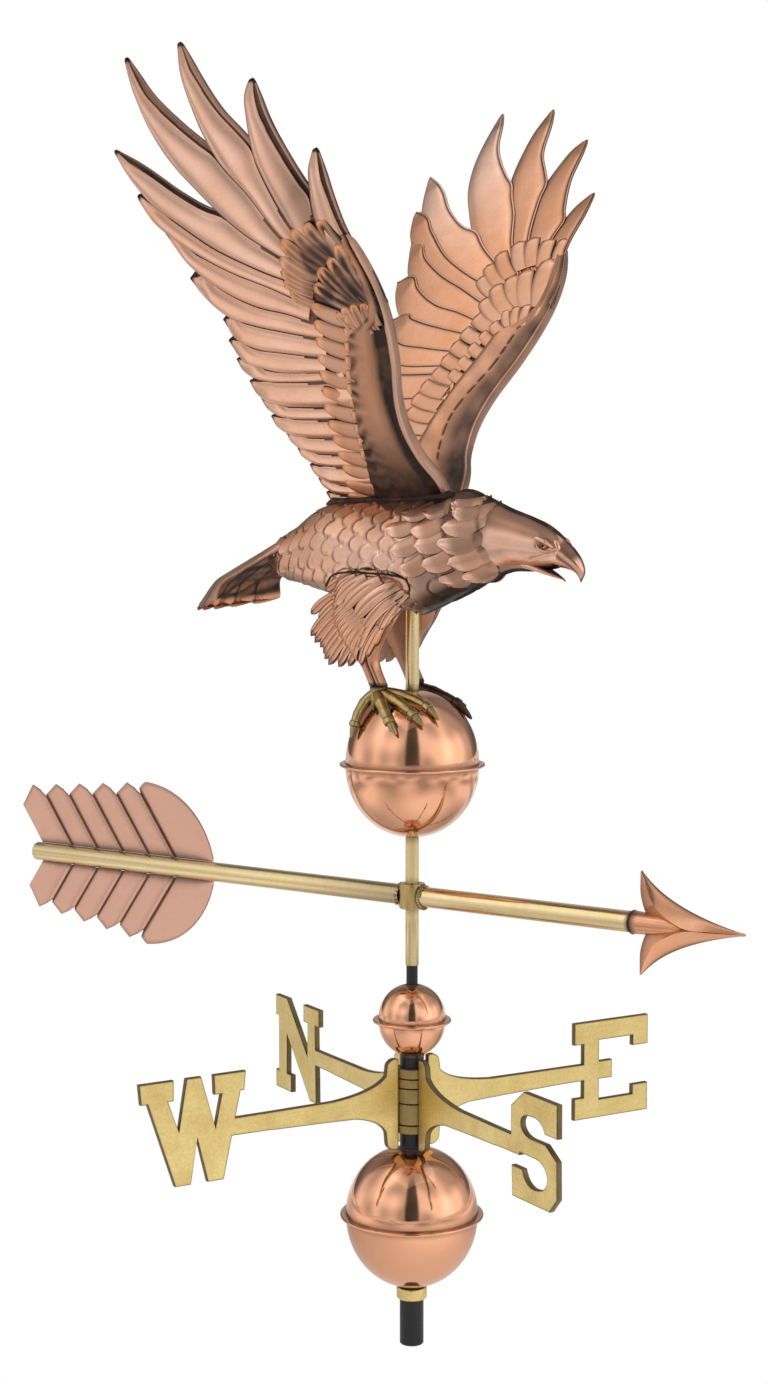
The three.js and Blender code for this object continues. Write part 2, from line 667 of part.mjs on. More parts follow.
// The leg's rings alternate between a row of feather tips at the back and the notch above it
function legHull() {
  const notchRise = 8;
  const tipDroop = 5;
  const flute = 1.08;
  const rings = [LEG_SECTIONS[0][0], LEG_SECTIONS[1][0]];
  [...LEG_TIPS].reverse().forEach(([height]) => rings.push(height, height + notchRise));
  rings.push(LEG_SECTIONS.at(-1)[0]);
  const hull = new THREE.CylinderGeometry(1, 1, 1, LEG_SIDES, rings.length - 1);
  hull.rotateX(Math.PI / 2);
  hull.rotateZ(Math.PI / 2);
  return outward(moved(hull, (x, y, z) => {
    const height = rings[Math.round((z + 0.5) * (rings.length - 1))];
    const section = [1, 2, 3, 4].map((column) => tableAt(LEG_SECTIONS, height, column));
    const [middle, outwards, depth, width] = section;
    const tip = LEG_TIPS.find(([tipHeight]) => tipHeight === height);
    const behind = x < -0.7;
    const reach = tip && behind ? (middle - tip[1]) / depth : 1;
    const spread = tip && !behind ? flute : 1;
    const droop = tip && behind ? tipDroop : 0;
    return [middle + x * depth * reach, outwards + y * width * spread, height - droop];
  }));
}

function leg(side, bodySolid) {
  const hull = side < 0 ? mirroredY(legHull()) : legHull();
  return cut(toSolid(hull), [bodySolid]);
}

function foot(side, globeSolid) {
  const ankle = new THREE.Vector3(ANKLE[0], ANKLE[1], ANKLE[2] - 6);
  const toes = TOE_TIPS.map(([a, b, c], i) => {
    const tip = new THREE.Vector3(a, b, c);
    const middle = ankle.clone().lerp(tip, 0.55);
    middle.z += i === 0 ? 9 : 14;
    const path = new THREE.QuadraticBezierCurve3(ankle, middle, tip);
    return limb(path, (t) => (t < 0.7 ? 5 - 1.4 * t : 4 * (1.06 - t) / 0.36), 4, 3);
  });
  const stub = new THREE.CylinderGeometry(7, 6.4, 9, 7);
  stub.rotateX(Math.PI / 2);
  stub.translate(ANKLE[0], ANKLE[1], ANKLE[2] - 4.5 - GAP);
  let geometry = toGeometry(join([stub, ...toes]));
  if (side < 0) geometry = mirroredY(geometry);
  return cut(toSolid(geometry), [globeSolid]);
}

// Assembly
function addMesh(group, name, geometry, material) {
  const mesh = new THREE.Mesh(geometry, material);
  mesh.name = name;
  group.add(mesh);
  return mesh;
}

function spindle() {
  const group = new THREE.Group();
  const rodBore = ROD_RADIUS + 2 * GAP;
  addMesh(group, 'steel_rod', steelRod(), blackSteel());
  addMesh(group, 'globe_collar', globeCollar(), brass());
  const lower = globe(LOWER_RING, LARGE_GLOBE_RADIUS, 57.2, 53, rodBore, rodBore);
  addMesh(group, 'lower_globe', lower, polishedCopper());
  const arms = [
    ['east_arm', letterE(), 152.6, 0, [[205.9, 213.1]]],
    ['north_arm', letterN(), 145.5, 90, [[213.4, 221.1]]],
    ['west_arm', letterW(), 145.7, 180, [[193.9, 205.6]]],
    ['south_arm', letterS(), 142.3, 270, [[177, 193.6], [169.8, 176.7]]],
  ];
  for (const [name, letter, inner, degrees, eyes] of arms) {
    const arm = addMesh(group, name, toGeometry(compassArm(letter, inner, eyes)), brass());
    arm.rotation.z = THREE.MathUtils.degToRad(degrees);
  }
  const pivotBore = PIVOT_RADIUS + 2 * GAP;
  const shelf = ROD_SHOULDER + GAP;
  const small = globe(SMALL_RING, SMALL_GLOBE_RADIUS, 28.2, 28.2, rodBore, pivotBore, shelf);
  addMesh(group, 'small_globe', small, polishedCopper());
  return group;
}

function arrow(group) {
  const reach = ARROW_COLLAR_RADIUS + GAP;
  const [low, high] = [ARROW_HEIGHT - 4 * reach, ARROW_HEIGHT + 4 * reach];
  const collarSolid = toSolid(turned([[0, low], [reach, low], [reach, high], [0, high]], ROUND_SIDES));
  addMesh(group, 'arrow_collar', arrowCollar(), tubeBrass());
  const tailTube = cut(toSolid(lyingTube(ARROW_TAIL_END, 0, true)), [collarSolid]);
  addMesh(group, 'arrow_tail_tube', toGeometry(tailTube), tubeBrass());
  const frontTube = cut(toSolid(lyingTube(0, ARROW_SOCKET, false)), [collarSolid]);
  addMesh(group, 'arrow_front_tube', toGeometry(frontTube), tubeBrass());
  addMesh(group, 'upper_fletching', fletching(1), sheetCopper());
  addMesh(group, 'lower_fletching', fletching(-1), sheetCopper());
  addMesh(group, 'arrow_head', toGeometry(arrowHead()), copper());
}

function perchGlobe(grow) {
  const bore = VANE_TUBE_RADIUS + 1.5 * GAP;
  return globe(PERCH_RING, LARGE_GLOBE_RADIUS + grow, 56.2 + grow, 57.5 + 1.5 * grow, bore, bore);
}

function eagle(group) {
  const bodySolid = join([bodyHull(0), ...beak(), ...faceFeatures()]);
  const bodyCutter = toSolid(bodyHull(GAP * 1.5));
  const perch = perchGlobe(0);
  const perchCutter = toSolid(perchGlobe(GAP));
  addMesh(group, 'perch_globe', perch, polishedCopper());
  addMesh(group, 'vane_tube', toGeometry(vaneTube(bodyCutter)), tubeBrass());
  addMesh(group, 'eagle_body', toGeometry(bodySolid), copper());
  addMesh(group, 'tail', toGeometry(tail(bodyCutter)), copper());
  for (const [side, word] of [[1, 'left'], [-1, 'right']]) {
    addMesh(group, `${word}_wing`, toGeometry(wing(side, bodyCutter)), copper());
    addMesh(group, `${word}_leg`, toGeometry(leg(side, bodyCutter)), copper());
    addMesh(group, `${word}_foot`, toGeometry(foot(side, perchCutter)), agedBrass());
  }
}

function vane() {
  const group = new THREE.Group();
  group.rotation.z = HEADING;
  arrow(group);
  eagle(group);
  return group;
}

const weathervane = new THREE.Group();
weathervane.add(spindle(), vane());

export default weathervane;
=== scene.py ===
"""Eagle weathervane: the copper eagle, its arrow and the compass arms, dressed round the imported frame."""

import math

import bmesh
import bpy
import numpy as np
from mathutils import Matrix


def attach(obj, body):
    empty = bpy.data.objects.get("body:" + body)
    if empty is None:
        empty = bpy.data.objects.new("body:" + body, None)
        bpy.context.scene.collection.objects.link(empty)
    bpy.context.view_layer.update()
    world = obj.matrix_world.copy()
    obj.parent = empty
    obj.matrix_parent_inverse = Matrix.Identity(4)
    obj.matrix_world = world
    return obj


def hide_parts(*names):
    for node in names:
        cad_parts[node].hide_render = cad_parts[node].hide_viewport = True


bl_info = {
    "name": "Eagle weathervane",
    "version": (1, 0, 0),
    "blender": (4, 5, 0),
    "location": "3D View > Sidebar > Weathervane",
    "description": "Makes the looks of a copper eagle weathervane round its packed frame",
    "category": "Object",
}

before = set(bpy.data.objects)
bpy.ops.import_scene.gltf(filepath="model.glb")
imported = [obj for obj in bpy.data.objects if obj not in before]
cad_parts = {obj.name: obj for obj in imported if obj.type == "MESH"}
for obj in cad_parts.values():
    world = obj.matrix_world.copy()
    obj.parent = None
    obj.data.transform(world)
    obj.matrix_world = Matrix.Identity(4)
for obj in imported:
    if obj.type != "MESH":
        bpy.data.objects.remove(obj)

MM = 0.001

# Headings of the eagle, from the east arm, and of the viewer, from the row's axes
HEADING = math.radians(-65.2)
VIEW_TURN = math.radians(31.2)

# Fixed part, in millimetres
ROD_RADIUS = 9.35
ROD_SHOULDER = 240.0
PIVOT_RADIUS = 4.43
PIVOT_TOP = 480.0
HUB_HEIGHT = 193.5
HUB_INNER = 13.3
HUB_PLATE_HEIGHT = 72.0
CASTING_THICKNESS = 4.6
LETTER_BOTTOM = 156.8
ROD_BORE = ROD_RADIUS + 0.3
PIVOT_BORE = PIVOT_RADIUS + 0.4
TUBE_BORE = 5.5

# Turning part, in millimetres
ARROW_HEIGHT = 355.4
ARROW_TUBE_RADIUS = 7.85
ARROW_TUBE_WALL = 1.2
ARROW_END = -391.8
ARROW_SOCKET = 192.4
ARROW_TIP = 283.7
WING_ROOT_OUT = 11.0
WING_ROOT_HEIGHT = 667.5
WING_RISE = math.radians(52.8)
BANK = math.radians(2.3)

# Each globe's piece, node and body, its ring's height, its radius, its depth below and above the ring, and
# its bore at the lower and the upper end
GLOBES = [
    ("lower_ball", "lower_globe", "spindle", 103.9, 51.5, 57.2, 53.0, ROD_BORE, ROD_BORE),
    ("small_ball", "small_globe", "spindle", 257.8, 26.0, 28.2, 28.2, ROD_BORE, PIVOT_BORE),
    ("perch_ball", "perch_globe", "vane", 457.5, 51.5, 56.2, 57.5, TUBE_BORE, TUBE_BORE),
]

# Each arm's node and letter, where the letter starts out from the rod, its heading in degrees, and the
# lower and upper height of each of its eyes
ARMS = [
    ("east_arm", "E", 152.6, 0, [(205.9, 213.1)]),
    ("north_arm", "N", 145.5, 90, [(213.4, 221.1)]),
    ("west_arm", "W", 145.7, 180, [(193.9, 205.6)]),
    ("south_arm", "S", 142.3, 270, [(177, 193.6), (169.8, 176.7)]),
]


# Sums and curves

def ease(low, high, value):
    """0 below low, 1 above high, and a smooth rise between"""
    share = np.clip((value - low) / (high - low), 0.0, 1.0)
    return share * share * (3 - 2 * share)


def hump(value, middle, width):
    """1 at the middle, falling smoothly to 0 on both sides over about the width"""
    return np.exp(-((value - middle) / width) ** 2)


def run_of(points):
    """The length along a line of points, up to each of them"""
    return np.concatenate([[0], np.cumsum(np.linalg.norm(np.diff(points, axis=0), axis=1))])


def smooth_values(knots, values, places):
    """Values at places along the knots, on smooth curves through the given ones"""
    slopes = np.gradient(values, knots, axis=0)
    low = np.clip(np.searchsorted(knots, places, side="right") - 1, 0, len(knots) - 2)
    span = (knots[low + 1] - knots[low])[..., None]
    t = (places - knots[low])[..., None] / span
    return ((2 * t ** 3 - 3 * t ** 2 + 1) * values[low] + (t ** 3 - 2 * t ** 2 + t) * span * slopes[low]
            + (3 * t ** 2 - 2 * t ** 3) * values[low + 1] + (t ** 3 - t ** 2) * span * slopes[low + 1])


def smooth_table(table, places):
    """A table's columns at places along its first column, on smooth curves"""
    rows = np.asarray(table, float)
    return smooth_values(rows[:, 0], rows[:, 1:], np.clip(places, rows[0, 0], rows[-1, 0]))


def curve_through(points, shares):
    """Points at the given shares of the length of a smooth curve through points"""
    given = np.asarray(points, float)
    knots = run_of(given)
    fine = smooth_values(knots, given, np.linspace(0, knots[-1], 40 * len(given)))
    run = run_of(fine)
    wanted = np.asarray(shares, float) * run[-1]
    return np.column_stack([np.interp(wanted, run, column) for column in fine.T])


def bezier(points, count):
    """Points along a quadratic or cubic Bezier curve"""
    t = np.linspace(0, 1, count)[:, None]
    p = [np.asarray(point, float) for point in points]
    if len(p) == 3:
        return (1 - t) ** 2 * p[0] + 2 * t * (1 - t) * p[1] + t ** 2 * p[2]
    return ((1 - t) ** 3 * p[0] + 3 * t * (1 - t) ** 2 * p[1] + 3 * t ** 2 * (1 - t) * p[2] + t ** 3 * p[3])


def bend(points, count):
    """The points of a Bezier curve as a list"""
    return [tuple(point) for point in bezier(points, count)]


def scatter(*keys):
    """An even spread of numbers from 0 to 1, one for each set of keys"""
    total = sum(np.asarray(key, float) * weight for key, weight in zip(keys, (12.9898, 78.233, 37.719)))
    return np.abs(np.sin(total) * 43758.5453) % 1.0


def ripple(points, size, seed=0.0):
    """A soft uneven wave over points, from about -1 to 1, with features of about the given size"""
    p = np.asarray(points, float) / size + seed
    x, y, z = p[..., 0], p[..., 1], p[..., 2]
    return (np.sin(2.1 * x + 1.7 * y + 0.6 * z) + np.sin(1.3 * y - 2.4 * z + 1.1 * x + 1.9)
            + np.sin(2.7 * z + 0.9 * x - 1.5 * y + 4.2)) / 3


# Places

def turned_about_up(points, angle):
    """Points turned by an angle about the upright axis"""
    x, y, z = np.moveaxis(np.asarray(points, float), -1, 0)
    cos, sin = math.cos(angle), math.sin(angle)
    return np.stack([x * cos - y * sin, x * sin + y * cos, z], axis=-1)


def eagle_place(points):
    """Forward, left and up in the turning part, to the row's frame"""
    return turned_about_up(points, HEADING)


def wing_to_eagle(side, points):
    """Forward, out along the wing and off its plane, to forward, left and up"""
    p = np.asarray(points, float)
    a, w, h = p[..., 0], p[..., 1], p[..., 2]
    b = WING_ROOT_OUT + w * math.cos(WING_RISE) - h * math.sin(WING_RISE)
    c = w * math.sin(WING_RISE) + h * math.cos(WING_RISE)
    left = side * b * math.cos(BANK) - c * math.sin(BANK)
    up = WING_ROOT_HEIGHT + c * math.cos(BANK) + side * b * math.sin(BANK)
    return np.stack([a, left, up], axis=-1)


def wing_place(side):
    """The way from a wing's own plane to the row's frame"""
    return lambda points: eagle_place(wing_to_eagle(side, points))


def arm_place(degrees):
    """The way from out along a compass arm, across it and up, to the row's frame"""
    return lambda points: turned_about_up(points, math.radians(degrees))


def side_view(flat, side, out):
    """Points given forward and up, and how far out they lie on one side of the eagle"""
    return np.stack([flat[..., 0], side * out, flat[..., 1]], axis=-1)


def feather_plan(root, tip, widths, bow, columns):
    """A feather laid out flat: its points, its middle line and its places across from -1 to 1"""
    root, tip = np.asarray(root, float), np.asarray(tip, float)
    share = np.linspace(0, 1, len(widths))
    line = tip - root
    length = np.linalg.norm(line)
    across = np.array([-line[1], line[0]]) / length
    bowed = bow * length * np.sin(np.pi * share)
    centre = root + share[:, None] * line + bowed[:, None] * across
    s = np.sin(np.linspace(-1, 1, columns) * math.pi / 2)
    flat = centre[:, None] + (widths[:, None] * s[None])[..., None] * across
    return flat, centre, s[None]


def shell(outer, inner):
    """Closed rings from the rows of an outer and an inner side"""
    return np.concatenate([outer, inner[:, ::-1]], axis=1)


# Closed forms

class Forms:
    """Closed forms gathered into one mesh. Each point has a darkness, for patina and painted shade, and a
    warmth from 0 to 1.
    """

    def __init__(self, place=lambda points: points):
        self.place = place
        self.points = []
        self.faces = []
        self.dark = []
        self.warm = []
        self.count = 0

    def loft(self, rings, dark=0.0, warm=0.5, ring_of_rings=False):
        """A form through rings of points, closed by a face at each end or joined end to end"""
        rings = np.asarray(self.place(np.asarray(rings, float)))
        rows, around = rings.shape[:2]
        index = np.arange(rows * around).reshape(rows, around)
        below = index if ring_of_rings else index[:-1]
        above = np.roll(index, -1, axis=0) if ring_of_rings else index[1:]
        quads = np.stack([below, np.roll(below, -1, axis=1), np.roll(above, -1, axis=1), above], axis=-1)
        quads = quads.reshape(-1, 4)
        flat = rings.reshape(-1, 3)
        centred = flat - flat.mean(axis=0)
        corner = centred[quads]
        volume = np.einsum("ij,ij->", corner[:, 0], np.cross(corner[:, 1], corner[:, 2]))
        volume += np.einsum("ij,ij->", corner[:, 0], np.cross(corner[:, 2], corner[:, 3]))
        faces = quads.tolist()
        if not ring_of_rings:
            for cap in (index[0][::-1], index[-1]):
                faces.append(cap.tolist())
                fan = centred[cap]
                volume += np.einsum("j,ij->", fan[0], np.cross(fan[1:-1], fan[2:]))
        if volume < 0:
            faces = [face[::-1] for face in faces]
        self.faces += [[corner + self.count for corner in face] for face in faces]
        self.points.append(flat)
        self.dark.append(np.broadcast_to(dark, (rows, around)).ravel())
        self.warm.append(np.broadcast_to(warm, (rows, around)).ravel())
        self.count += rows * around

    def turned(self, profile, sides=72, axis="up", dark=0.0, warm=0.5):
        """A profile of radius and height turned round the upright axis or the arrow's axis, end to end"""
        profile = np.asarray(profile, float)
        turn = np.linspace(0, 2 * math.pi, sides, endpoint=False)
        radius, height = profile[:, 0][None], profile[:, 1][None]
        cos, sin = np.cos(turn)[:, None], np.sin(turn)[:, None]
        if axis == "up":
            rings = np.stack([radius * cos, radius * sin, height + 0 * cos], axis=-1)
        else:
            rings = np.stack([height + 0 * cos, radius * cos, ARROW_HEIGHT + radius * sin], axis=-1)
        self.loft(rings, np.broadcast_to(dark, len(profile))[None] + 0 * cos, warm, ring_of_rings=True)

    def limb(self, path, radii, sides=24, flat=1.0, dark=0.0, warm=0.5, grain=None,
             beside=(0.0, 0.0, 1.0)):
        """A rod of changing radius along a path that nowhere runs along the beside direction"""
        path = np.asarray(path, float)
        tangent = np.gradient(path, axis=0)
        tangent /= np.linalg.norm(tangent, axis=1)[:, None]
        side = np.cross(beside, tangent)
        side /= np.maximum(np.linalg.norm(side, axis=1), 1e-6)[:, None]
        up = np.cross(tangent, side)
        turn = np.linspace(0, 2 * math.pi, sides, endpoint=False)
        radii = np.broadcast_to(radii, len(path))[:, None, None]
        rings = path[:, None] + radii * (np.cos(turn)[None, :, None] * side[:, None]
                                         + flat * np.sin(turn)[None, :, None] * up[:, None])
        if grain is not None:
            rings = rings + grain(rings)
        self.loft(rings, np.broadcast_to(dark, len(path))[:, None], warm)


def make_piece(name, forms, slot, body, nodes, crease=38.0):
    """One mesh from closed forms, riding on its body in place of its CAD nodes"""
    mesh = bpy.data.meshes.new(name)
    mesh.from_pydata((np.vstack(forms.points) * MM).tolist(), [], forms.faces)
    for label, values in (("darkness", forms.dark), ("warmth", forms.warm)):
        layer = mesh.attributes.new(label, "FLOAT", "POINT")
        layer.data.foreach_set("value", np.clip(np.concatenate(values), 0, 1).astype(np.float32))
    mesh.polygons.foreach_set("use_smooth", [True] * len(mesh.polygons))
    mesh.set_sharp_from_angle(angle=math.radians(crease))
    mesh.materials.append(material_of(slot))
    piece = bpy.data.objects.new(name, mesh)
    bpy.context.collection.objects.link(piece)
    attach(piece, body)
    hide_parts(*nodes)


# Materials

class Nodes:
    """A short hand for a node tree"""

    def __init__(self, tree):
        self.tree = tree

    def add(self, kind, inputs=None, **settings):
        """A node with its settings, and each of its inputs linked to a socket or given a value"""
        node = self.tree.nodes.new(kind)
        for key, value in settings.items():
            setattr(node, key, value)
        for key, value in (inputs or {}).items():
            socket = node.inputs[key]
            if isinstance(value, bpy.types.NodeSocket):
                self.tree.links.new(value, socket)
            else:
                socket.default_value = value
        return node

    def sum(self, operation, first, second, clamp=False):
        """A sum of two values"""
        inputs = {0: first, 1: second}
        return self.add("ShaderNodeMath", inputs, operation=operation, use_clamp=clamp).outputs[0]

    def blend(self, share, first, second):
        """A colour between two"""
        node = self.add("ShaderNodeMix", data_type="RGBA", clamp_factor=True)
        for index, value in ((0, share), (6, first), (7, second)):
            if isinstance(value, bpy.types.NodeSocket):
                self.tree.links.new(value, node.inputs[index])
            else:
                node.inputs[index].default_value = value
        return node.outputs[2]

    def noise(self, place, scale, detail, roughness=0.5):
        """Cloudy noise over a place"""
        inputs = {"Vector": place, "Scale": scale, "Detail": detail, "Roughness": roughness}
        return self.add("ShaderNodeTexNoise", inputs).outputs[0]

    def span(self, value, low, high, to_low, to_high):
        """A value's share of one range, in another"""
        inputs = {"Value": value, "From Min": low, "From Max": high, "To Min": to_low, "To Max": to_high}
        return self.add("ShaderNodeMapRange", inputs).outputs["Result"]


def finish_material(name, clean, warm, dark, roughness, hammer, mottle, worn, grain=(1, 1, 1), streak=0.0,
                    metallic=1.0):
    """Metal whose darkness and warmth attributes set its patina, painted shade and tone, with a fine
    hammered or drawn grain
    """
    material = bpy.data.materials.new(name)
    material.use_nodes = True
    tree = material.node_tree
    tree.nodes.clear()
    n = Nodes(tree)
    out = n.add("ShaderNodeOutputMaterial")
    shader = n.add("ShaderNodeBsdfPrincipled")
    tree.links.new(shader.outputs[0], out.inputs["Surface"])
    place = n.add("ShaderNodeTexCoord").outputs["Object"]
    cloud = n.noise(place, 38.0, 4.0, 0.6)
    fleck = n.noise(place, 420.0, 3.0, 0.7)
    lines = n.noise(n.add("ShaderNodeMapping", {"Vector": place, "Scale": grain}).outputs[0], 260.0, 3.0)
    darkness = n.add("ShaderNodeAttribute", attribute_name="darkness").outputs["Fac"]
    warmth = n.add("ShaderNodeAttribute", attribute_name="warmth").outputs["Fac"]
    uneven = n.sum("ADD", warmth, n.span(cloud, 0.3, 0.7, -mottle, mottle), clamp=True)
    tone = n.blend(uneven, (*clean, 1), (*warm, 1))
    tone = n.blend(n.span(fleck, 0.35, 0.7, 0.0, worn), tone, (*dark, 1))
    # The darkness attribute holds patina in hollows and painted shade in laps, gaps and recesses; both
    # blend to the dark colour
    darkening = n.sum("MULTIPLY", darkness, n.span(cloud, 0.25, 0.75, 1.15, 0.85), clamp=True)
    tree.links.new(n.blend(darkening, tone, (*dark, 1)), shader.inputs["Base Color"])
    rough = n.sum("ADD", n.span(cloud, 0.3, 0.7, roughness - 0.05, roughness + 0.06),
                  n.span(lines, 0.3, 0.7, -0.03, 0.03))
    rough = n.sum("ADD", rough, n.sum("MULTIPLY", darkening, 0.22), clamp=True)
    tree.links.new(rough, shader.inputs["Roughness"])
    tree.links.new(n.span(darkening, 0.3, 1.0, 0.5, 0.15), shader.inputs["Specular IOR Level"])
    if metallic < 1.0:
        shader.inputs["Metallic"].default_value = metallic
    else:
        tree.links.new(n.span(darkening, 0.0, 1.0, 1.0, 0.55), shader.inputs["Metallic"])
    height = n.sum("ADD", n.sum("MULTIPLY", cloud, hammer * 2.2), n.sum("MULTIPLY", fleck, hammer * 0.25))
    height = n.sum("ADD", height, n.sum("MULTIPLY", lines, streak))
    bump = n.add("ShaderNodeBump", {"Height": height, "Strength": 0.6, "Distance": 0.0012})
    tree.links.new(bump.outputs[0], shader.inputs["Normal"])
    return material


def material_of(slot):
    """One of the weathervane's finishes, made when it is first asked for"""
    f = bpy.context.scene.weathervane_finishes
    name = "finish_" + slot
    if name in bpy.data.materials:
        return bpy.data.materials[name]
    brushed, drawn = (0.15, 0.15, 2.2), (1, 1, 0.12)
    finishes = {
        "feather_copper": (f.pink_copper, f.warm_copper, f.feather_roughness,
                           {"hammer": 0.06, "mottle": 0.16, "worn": 0.05}),
        "polished_copper": (f.globe_copper, f.warm_copper, 0.09,
                            {"hammer": 0.03, "mottle": 0.10, "worn": 0.03}),
        "sheet_copper": (f.sheet_copper, f.pink_copper, 0.42,
                         {"hammer": 0.05, "mottle": 0.20, "worn": 0.06}),
        "cast_brass": (f.cast_brass, f.deep_brass, 0.34,
                       {"grain": brushed, "hammer": 0.14, "streak": 0.25, "mottle": 0.30, "worn": 0.18}),
        "brass_tube": (f.tube_brass, f.deep_brass, 0.2,
                       {"grain": drawn, "hammer": 0.03, "streak": 0.08, "mottle": 0.12, "worn": 0.05}),
        "aged_brass": (f.aged_brass, f.deep_brass, 0.3, {"hammer": 0.10, "mottle": 0.25, "worn": 0.25}),
        # The left foot's darker brass is painted shade on the same casting as the right foot
        "brown_brass": (f.brown_brass, f.brown_brass, 0.36, {"hammer": 0.12, "mottle": 0.2, "worn": 0.3}),
        "black_steel": (f.black_steel, f.black_steel, 0.42,
                        {"hammer": 0.04, "mottle": 0.1, "worn": 0.1, "metallic": 0.3}),
    }
    clean, warm, roughness, settings = finishes[slot]
    return finish_material(name, clean, warm, tuple(f.darkening), roughness, **settings)


# Fixed part

def build_rod():
    """The rod, with the narrow upper end that the vane turns on"""
    rod = Forms()
    chamfer = 0.8
    wide, narrow = ROD_RADIUS, PIVOT_RADIUS
    rod.turned([(0, 0), (wide - chamfer, 0), (wide, chamfer), (wide, ROD_SHOULDER - chamfer),
                (wide - chamfer, ROD_SHOULDER), (narrow, ROD_SHOULDER), (narrow, PIVOT_TOP - 1),
                (narrow - 1, PIVOT_TOP), (0, PIVOT_TOP)], 64)
    make_piece("rod_and_pivot", rod, "black_steel", "spindle", ["steel_rod"])


def rounded_ring(inner, outer, low, high, bevel, steps=4):
    """Profile of a ring with rounded outer edges"""
    turn = np.linspace(0, math.pi / 2, steps + 1)
    profile = [(inner, low)]
    profile += [(outer - bevel + bevel * math.sin(t), low + bevel - bevel * math.cos(t)) for t in turn]
    profile += [(outer - bevel + bevel * math.cos(t), high - bevel + bevel * math.sin(t)) for t in turn]
    profile.append((inner, high))
    return profile


def build_collar():
    """The brass collar under the lower globe"""
    collar = Forms()
    profile = rounded_ring(ROD_RADIUS + 0.4, 11.85, 36.7, 46.1, 1.3)
    dark = np.full(len(profile), 0.05)
    dark[[0, -1]] = 1.0
    collar.turned(profile, 64, dark=dark)
    make_piece("rod_collar", collar, "cast_brass", "spindle", ["globe_collar"])


def globe_profile(ring, radius, below, above, bore_below, bore_above):
    """Two spun cups that meet at a rolled ring, with the darkness of each point"""
    half, proud, lip = 1.3, 4.6, 1.15
    steps = 40
    points, dark = [], []

    def add_to_cup(i, bore, fullness, rim, depth):
        turn = (i / steps) * math.pi / 2
        reach = max(radius * math.sin(turn) ** fullness, bore + 0.8 * i / steps)
        points.append((reach, rim + depth * math.cos(turn)))
        dark.append(0.55 * float(ease(0.955, 1.0, i / steps)) + 0.9 * float(ease(6, 0, reach - bore)))

    for i in range(steps + 1):
        add_to_cup(i, bore_below, 1.0, ring - half, half - below)
    for turn in np.linspace(-math.pi / 2, math.pi / 2, 9):
        points.append((radius + proud - lip + lip * math.cos(turn), ring + lip * math.sin(turn)))
        dark.append(0.0)
    for i in range(steps, -1, -1):
        add_to_cup(i, bore_above, 0.92, ring + half, above - half)
    return points, dark


def build_globe(name, node, body, *sizes):
    """A polished globe of two spun cups"""
    globe = Forms()
    points, dark = globe_profile(*sizes)
    globe.turned(points, 128, dark=dark, warm=0.35)
    make_piece(name, globe, "polished_copper", body, [node], crease=50)


def letter_paths():
    """Each letter's outline, from the arm's upper edge round the letter to the arm's lower edge"""
    s_shape = [(0, 45.55), (0, 67), (16.2, 80), (59, 80), (59, 55)]
    s_shape += bend([(43.2, 55), (40, 62), (34, 65), (24, 63.6)], 8)
    s_shape += bend([(24, 63.6), (9, 64), (9, 48), (27, 47.9)], 12)[1:]
    s_shape += [(44.3, 47.9), (58.8, 38.6), (59.4, 11), (49.7, 0), (2, 0), (1, 23)]
    s_shape += bend([(15.1, 23), (18, 14), (25, 10), (36, 12.5)], 9)
    s_shape += bend([(36, 12.5), (51, 15), (50, 32), (33, 34.2)], 14)[1:]
    s_shape += [(12, 34.5), (11, 32.05)]
    return {
        "N": [
            (6.04, 45.55), (6.5, 65.5), (0, 65.5), (0, 80), (27, 80), (27, 65.5), (20, 65.5), (20, 37),
            (55.7, 80), (76, 80), (76, 62.5), (70.7, 62.5), (70.7, 15), (76, 15), (76, 0), (48.5, 0),
            (48.5, 15), (56, 15), (56, 49), (16, 0), (5, 0), (5.73, 32.05),
        ],
        "E": [
            (9, 45.55), (9, 62), (0, 62), (0, 80), (73.5, 80), (73.5, 55.5), (58, 55.5), (58, 64),
            (24.5, 64), (24.5, 46.6), (37.5, 46.6), (37.5, 31.7), (24.5, 31.7), (24.5, 15), (58, 15),
            (58, 23), (73.5, 23), (73.5, 0), (0, 0), (0, 18), (9, 18), (9, 32.05),
        ],
        "W": [
            (8.99, 45.55), (4.6, 65.5), (1.5, 65.5), (0, 80), (26.9, 80), (26.3, 65), (20.5, 65),
            (25.6, 40), (37, 80), (49.2, 80), (55.6, 41), (63.9, 64.6), (59.4, 64.6), (59.4, 80),
            (87.5, 80), (86, 64.6), (80.7, 64.6), (58.9, 0), (46.1, 0), (40.6, 34), (32.3, 0), (19, 0),
            (11.95, 32.05),
        ],
        "S": s_shape,
    }


def arm_outline(letter, inner):
    """Outline of one casting, seen from its side: hub plate, flared arm and letter"""
    top = HUB_HEIGHT + HUB_PLATE_HEIGHT / 2
    bottom = HUB_HEIGHT - HUB_PLATE_HEIGHT / 2
    lobe = HUB_INNER + 10.5
    points = [(inner + x, LETTER_BOTTOM + y) for x, y in letter]
    points += [(inner - 20, 188.6), (120, 188.2), (85, 187.4)]
    points += bend([(52, 186.35), (30.3, 182.6), (lobe + 1, bottom + 15)], 12)
    points.append((lobe, bottom + 5))
    points += bend([(lobe - 0.6, bottom + 3.4), (18.5, bottom - 2), (HUB_INNER, bottom + 1)], 8)
    points += bend([(HUB_INNER, top - 1), (18.5, top + 2), (lobe - 0.6, top - 3.4)], 8)
    points.append((lobe, top - 5))
    points += bend([(lobe + 1, top - 13), (35.3, 205.6), (72, 202.95)], 12)
    points += [(100, 202.7), (inner - 20, 202.45)]
    return np.asarray(points)


